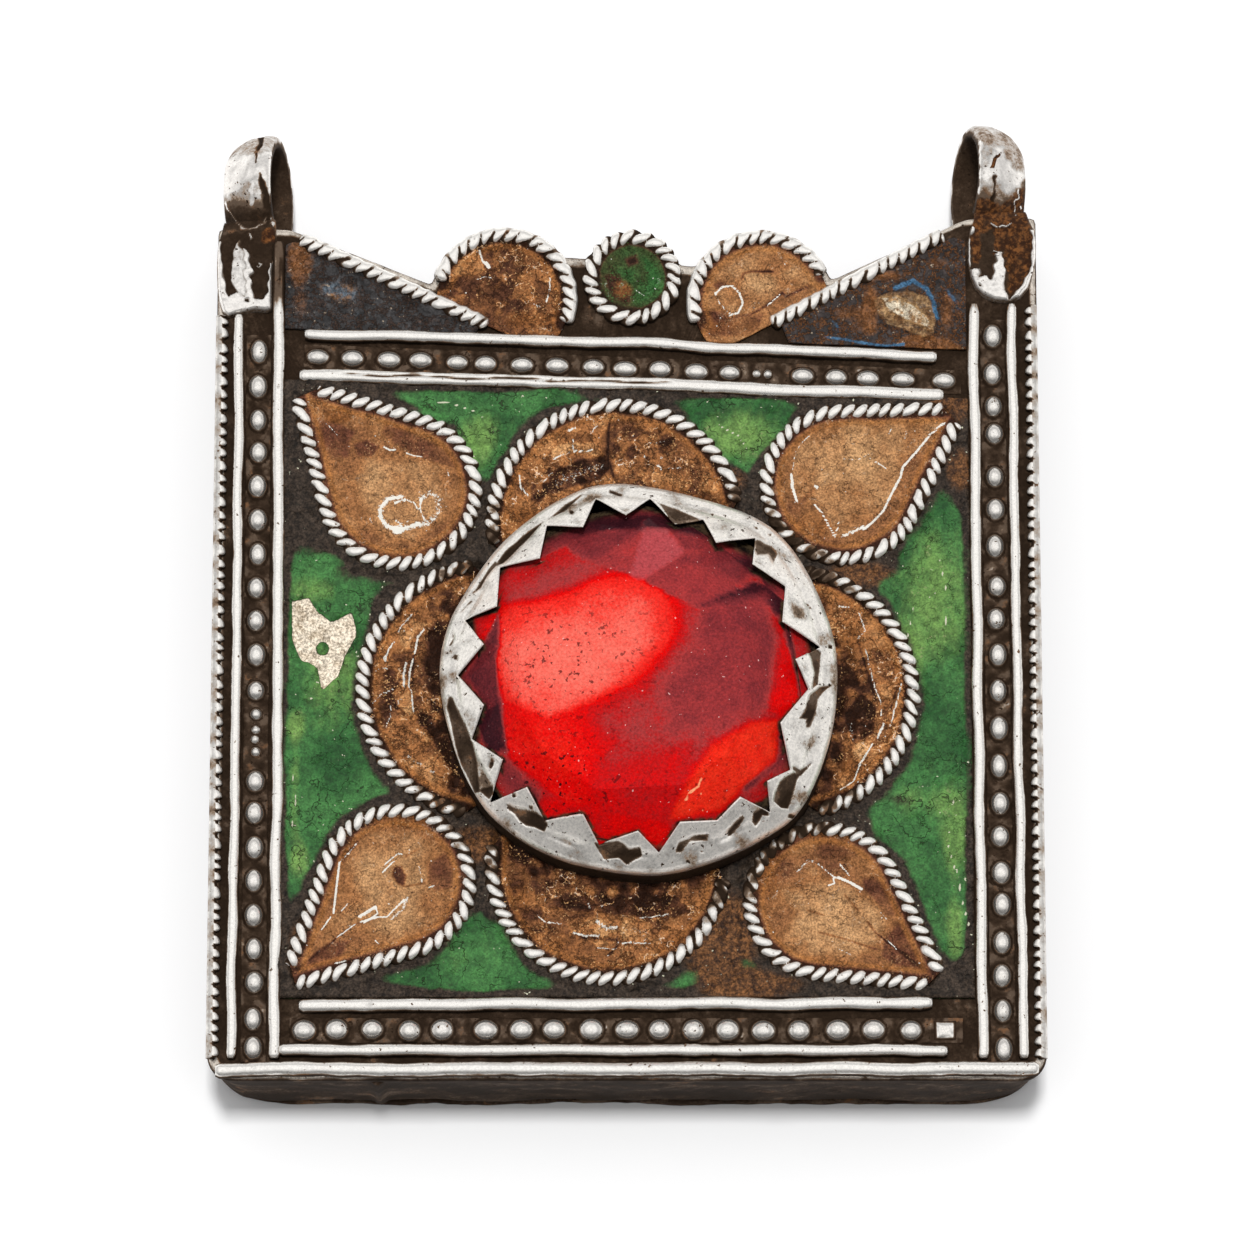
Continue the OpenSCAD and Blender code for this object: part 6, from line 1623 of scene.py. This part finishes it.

# Bails: on each shoulder a strip of silver grows out of a ribbed tab on the face, bends back over
# the edge and returns behind. Both are worn, with dirt in the bend and between the ribs, and the
# loop's highlights and dark reflections are painted into its wear.
bail_paint = silver("worn_bail_silver", tint=(0.94, 0.90, 0.85), pits=0.55, shine=0.28, metal=0.80)
bails = {}
bails["left"] = dict(
    x=-23.57, turn=-10.2, shoulder=54.8, ridge=0.5, half=[1.62, 1.6, 1.54, 1.47, 1.5],
    outline=[
        (-25.65, 54.52), (-25.84, 53.9), (-25.92, 53.17), (-25.95, 52.24), (-25.89, 50.7), (-25.73, 49.7),
        (-25.54, 49.09), (-25.2, 48.78), (-24.43, 49), (-23.55, 49.23), (-22.66, 49.17), (-22.39, 49.28),
        (-22.38, 50.09), (-22.41, 52.24), (-22.34, 53.01), (-22.19, 54.17), (-22.26, 55.4),
        (-23.77, 55.33), (-25.54, 55.1)],
    # Wear and dirt, with painted highlights and dark painted reflections on the loop's front.
    shade=[
        (0.9, 0.55, [(-25.5, 59.9), (-24.9, 60.4), (-24, 60.8), (-23.2, 60.8), (-22.7, 60.4),
         (-22.6, 59.6), (-23.6, 59.5), (-24.6, 59.6), (-25.5, 59.2)]),
        (0.8, 0.96, [(-25.7, 58.8), (-24.6, 59.2), (-23.8, 59.3), (-23.8, 58.3), (-24.2, 57.9),
         (-24.6, 57.3), (-25.3, 57), (-25.7, 57.2)]),
        (0.4, 0.8, [(-23.5, 59.4), (-22.9, 59.6), (-22.6, 59), (-22.5, 57.2), (-23.1, 58.1),
         (-23.3, 58.4)]),
        (0.6, 0.51, [(-24.6, 57.2), (-24, 57.7), (-23.9, 57.5), (-23.9, 56.3), (-24.2, 55.9), (-25, 56.1),
         (-25.3, 56.4), (-25.3, 56.7)]),
        (0.12, 0.95, [(-23.8, 57.9), (-23.7, 57.9), (-23.7, 56.1), (-23.9, 56.1), (-23.9, 57.2)]),
        (1.3, 0.12, [(-25.8, 55.9), (-25.3, 56.2), (-24.5, 56.1), (-23.8, 56.1), (-22.9, 56.2),
         (-22.2, 56.1), (-22.1, 54.9), (-22.6, 54.1), (-23.5, 53.9), (-24.5, 54.3), (-25.2, 54.6),
         (-25.8, 53.8)]),
        (0.12, 0.0, [(-23.4, 60.8), (-23.1, 60.8), (-23.2, 60.3), (-23.4, 59.9), (-23.5, 59.8),
         (-23.5, 60.3)]), (0.08, 0.05, [(-23.6, 59.7), (-23.5, 59.7), (-23.5, 59), (-23.6, 59)]),
        (0.15, 0.02, [(-23.3, 58.4), (-23.1, 58.1), (-22.8, 57.2), (-22.5, 56.1), (-22.6, 55.7),
         (-23, 56.1), (-23.1, 56.9), (-23.3, 57.6)]),
        (0.15, 0.1, [(-26.3, 53.8), (-25.5, 54.3), (-23.8, 54.6), (-22, 54.6), (-21.9, 49.2),
         (-25.9, 49.2)]),
        (0.12, 0.92, [(-26.3, 53.9), (-25.7, 53.8), (-25.6, 52.2), (-25.5, 51.5), (-25.3, 50.5),
         (-25.1, 50.1), (-24.8, 50.5), (-24.4, 50.4), (-24.1, 50.2), (-23.6, 50), (-23.2, 49.9),
         (-22.9, 50.1), (-22.7, 50.7), (-22.7, 51.5), (-22.6, 52.3), (-22.1, 52.3), (-21.9, 48.4),
         (-25.9, 48.4)]),
        (0.15, 0.66, [(-24.9, 53.2), (-24.6, 53.9), (-24.3, 53.2), (-24.2, 52.2), (-24.1, 50.7),
         (-24, 50.2), (-24.6, 50.4), (-25, 51.2), (-25, 52.2)]),
        (0.12, 0.92, [(-24.3, 53.4), (-24, 53.2), (-23.7, 52.2), (-23.7, 51.1), (-23.6, 49.9),
         (-24, 49.9), (-24.1, 50.7), (-24.2, 52.2)]),
        (0.1, 0.8, [(-23.9, 54.4), (-23.7, 54.3), (-23.7, 54.1), (-23.9, 54)]),
        (0.1, 0.0, [(-24.1, 50), (-23.9, 50), (-23.9, 49.8), (-24.1, 49.8)])],
    glint=[
        (0.05, 0.5, [(-25.5, 56.4), (-25.1, 55.6), (-24.6, 54.9), (-24.2, 54.7), (-23.5, 54.8),
         (-22.9, 55.3)]),
        (0.05, 0.7, [(-22.6, 59.6), (-22.7, 57.8), (-22.5, 56.7), (-22.3, 56.1), (-22.3, 55.3),
         (-22.2, 54.2), (-22.3, 53), (-22.4, 52.3)]), (0.06, 0.8, [(-22.5, 55.3), (-22.4, 55.1)]),
        (0.05, 0.6, [(-23.3, 52.4), (-23.1, 52.3), (-23.2, 52.1), (-23.3, 52.2)])],
    rust=[
        (0.4, 0.9, [(-23.2, 54.6), (-22.5, 54.9), (-22.3, 54.6), (-22.3, 53.8), (-22.7, 53.7),
         (-23.2, 53.8)]),
        (0.6, 0.4, [(-23.5, 55.9), (-22.6, 56.1), (-22.4, 55.3), (-23, 54.9), (-23.8, 54.9)])])
bails["right"] = dict(
    x=23.12, turn=13.2, shoulder=55.5, ridge=-0.5, half=[1.72, 1.64, 1.54, 1.46, 1.5],
    outline=[
        (22.04, 55.77), (21.95, 55.2), (21.71, 54.55), (21.57, 53.74), (21.54, 52.53), (21.68, 51.48),
        (22.02, 50.68), (22.47, 50.2), (23.16, 49.87), (24.09, 49.78), (24.79, 50.03), (25.34, 50.68),
        (25.7, 51.73), (25.87, 52.7), (25.9, 53.74), (25.78, 54.63), (25.44, 55.36), (25.29, 55.85),
        (23.7, 55.85)],
    # Wear and dirt, with painted highlights and dark painted reflections on the loop's front.
    shade=[
        (0.9, 0.55, [(22.1, 61.4), (23.2, 61.5), (24.1, 61.3), (25, 60.6), (25.5, 59.9), (25.3, 59.4),
         (24.2, 59.8), (23.4, 60), (22.5, 59.8), (22.2, 60.6)]),
        (0.8, 0.53, [(23.9, 59.8), (25.5, 60), (25.3, 58.4), (24.8, 58.3), (24.4, 58.7), (23.9, 59.3)]),
        (0.6, 0.96, [(23.8, 60.1), (23.9, 59.2), (23.6, 58.3), (22.7, 58), (22.5, 58.1), (23, 58.8),
         (23.2, 59.4)]),
        (0.6, 0.92, [(23.8, 59.1), (24.4, 58.6), (25.1, 58.2), (25.1, 57.6), (24.5, 57), (24, 57.3),
         (23.7, 58)]),
        (0.6, 0.5, [(22.3, 57.2), (23.2, 58), (23.7, 57.5), (24.2, 56.7), (23.8, 56.4), (23.3, 56.9),
         (22.8, 56.7), (22.3, 56.7)]),
        (1.2, 0.22, [(21.9, 56.7), (23, 56.7), (23.7, 56.3), (24.5, 56.6), (24.8, 57.3), (25.4, 57.8),
         (25.6, 56.2), (25.7, 54.6), (24.5, 54.1), (23.5, 54.1), (21.7, 54.1)]),
        (0.1, 0.05, [(23.8, 59.8), (23.8, 59.7), (23.4, 59), (23.2, 58.6), (23, 58.6), (23.3, 59.3)]),
        (0.1, 0.0, [(23.3, 58.1), (23.4, 58), (23.3, 57.3), (23.3, 56.7), (23.2, 55.6), (23, 55.6),
         (23.1, 56.7), (23.2, 57.3)]),
        (0.15, 0.16, [(21.4, 54.6), (26.2, 54.6), (26.1, 51.3), (25.2, 51.1), (24.6, 50.5), (24.1, 50),
         (23.9, 50.5), (23.8, 53.1), (23.2, 52.7), (23.1, 51.4), (22.9, 51.3), (22.3, 51.4), (22.3, 52.1),
         (21.8, 52), (21.3, 52.3)]),
        (0.12, 0.92, [(21.3, 52.2), (21.8, 52), (22.1, 52), (22.3, 51.3), (22.5, 51.5), (22.8, 51.5),
         (23.1, 51.2), (23.2, 51.7), (23.3, 52.9), (23.8, 53.1), (23.9, 51.7), (23.9, 50.5), (24.1, 50.1),
         (23.9, 49.4), (23.2, 49.4), (22.1, 49.7), (21.3, 50.8)]),
        (0.12, 0.9, [(25.6, 54.6), (26.2, 54.6), (26.3, 52.1), (26, 50.5), (25.2, 49.7), (24.4, 49.6),
         (24.3, 50.2), (24.7, 50.5), (25.1, 51.2), (25.5, 52.1), (25.6, 52.9), (25.6, 53.7)]),
        (0.12, 0.9, [(21.8, 54.9), (21.2, 54.6), (21.2, 52.1), (21.7, 52.1), (21.7, 52.9), (21.7, 54.1),
         (22, 54.6)]),
        (0.1, 0.02, [(24.3, 54.6), (24.4, 54.6), (24.4, 52.9), (24.4, 51.3), (24.3, 50.1), (24.1, 50.1),
         (24.2, 51.3), (24.2, 52.9)]), (0.1, 0.0, [(22.2, 51), (22.3, 51), (22.3, 50.8), (22.2, 50.8)])],
    glint=[
        (0.05, 0.6, [(23, 55), (23.5, 54.8), (24, 54.8), (24.4, 55)]),
        (0.05, 0.6, [(22.4, 60.4), (22.4, 58.6), (22.2, 56.9)]),
        (0.05, 0.5, [(24.9, 57.3), (24.7, 56.5), (24.6, 55.7)]), (0.06, 0.7, [(25, 56.2), (25.1, 56)]),
        (0.05, 0.6, [(23.2, 53.2), (23.4, 53.1), (23.6, 52.9), (23.3, 52.9)])],
    rust=[
        (0.5, 0.75, [(21.9, 56.8), (23, 56.7), (23.7, 56.3), (24.8, 57.3), (25.2, 57.6), (25.7, 54.6),
         (25.7, 51.7), (24.7, 50.5), (24.1, 50.2), (23.8, 53.1), (23.2, 52.7), (21.8, 52.1),
         (21.6, 54.1)]),
        (0.4, 0.1, [(22.5, 54.4), (23.2, 54.6), (23.1, 51.4), (22.3, 51.4), (22.4, 52.9)]),
        (0.2, 0.9, [(23.7, 59.8), (23.9, 59.7), (23.4, 58.8), (22.7, 58), (22.6, 58), (23.2, 59.2)])])


def bail_looks(bail, spots):
    """Wear and rust, with the loop's painted highlights and reflections in the wear. The pattern is
    laid on loop and tab together, along a line that leans by a quarter from the face's normal."""
    x, y = spots[..., 0], spots[..., 1] + 0.25 * (spots[..., 2] - 8.9)
    flat = np.stack([x, y], -1)
    x, y = x + 0.05 * waves(flat, 0.8, 830), y + 0.05 * waves(flat, 0.7, 831)
    wear = layered(x, y, 0.62, bail["shade"]) + strokes(x, y, bail["glint"])
    return np.minimum(wear, 1.0), layered(x, y, 0.0, bail["rust"])


steps_along, steps_across, steps_under = 170, 48, 10
for side, bail in bails.items():
    node = "bail_" + side
    lean = math.radians(bail["turn"])
    angle = np.radians(np.linspace(138, -142, steps_along))[:, None]
    along = np.linspace(0, 1, steps_along)
    half = np.interp(along, [0, 0.08, 0.3, 0.6, 1], bail["half"])[:, None]

    def on_loop(u, radial):
        """Spots at u (-1 to 1) across the strip, on a circle round the loop's leaning axis."""
        across, rise = half * u, radial * np.sin(angle)
        return np.stack([bail["x"] + across * math.cos(lean) + rise * math.sin(lean),
                         bail["shoulder"] + 2.90 + radial * np.cos(angle) + 0 * u,
                         5.5 - across * math.sin(lean) + rise * math.cos(lean)], -1)

    u = np.linspace(-1, 1, steps_across)[None]
    out = 3.92 - 0.42 * (u - bail["ridge"]) ** 2 - 0.12 * np.abs(u) ** 10
    shade, rust = bail_looks(bail, on_loop(u, out))
    front = ease(np.degrees(angle), 8, 18)
    grid = np.stack([15 * along[:, None] + 0 * u, 1.5 * u + 0 * angle], -1)
    wear = 0.36 + 0.14 * waves(grid, 1.5, 813) + 0.25 * ease(np.abs(u), 0.85, 0.95)
    wear = wear + (shade - wear) * front
    relief = 0.030 * waves(grid, 2.4, 810) + 0.014 * waves(grid, 0.8, 811)
    relief = relief - 0.14 * (1 - ease(shade, 0, 0.22)) * front
    under = np.linspace(1, -1, steps_under)[None]
    inner = np.minimum(3.16, 3.54 - 0.42 * (under - bail["ridge"]) ** 2)
    spots = np.concatenate([on_loop(u, out + relief), on_loop(under, inner)], 1)
    rows, columns = spots.shape[:2]
    ends = [np.arange(columns), (rows - 1) * columns + np.arange(columns)[::-1]]
    fields = {"wear": np.concatenate([wear, np.full((rows, steps_under), 0.22)], 1),
              "rust": np.concatenate([rust * front, np.zeros((rows, steps_under))], 1)}
    add_mesh("loop_" + side, spots.reshape(-1, 3), sheet_quads(rows, columns, wrap_columns=True), ends,
             bail_paint, fields, "bail_silver", node)

    outline = np.array(bail["outline"])
    grid = star_grid(outline, outline.mean(0), 46, 170)
    x, y = grid[..., 0], grid[..., 1]
    shade, rust = bail_looks(bail, np.stack([x, y, 9.05 + 0 * x], -1))
    inset = inside_by(x, y, outline)
    high = 0.22 + 0.50 * shade + 0.02 * waves(grid, 0.8, 821)
    high += (0.10 - high) * ease(y, bail["shoulder"] - 0.7, bail["shoulder"] + 0.4)
    high *= np.sqrt(np.clip(1 - (1 - np.clip(inset, 0, 0.25) / 0.25) ** 2, 0, 1))
    spots, quads, caps = skirted(x, y, SEAT + high, SEAT - 0.05, wrapped=True)
    shade = np.where(inset < 0.08, np.minimum(shade, 0.5), shade)
    fields = with_skirt(spots, wear=shade, rust=rust)
    add_mesh("tab_" + side, spots, quads, caps, bail_paint, fields, "bail_silver", node)
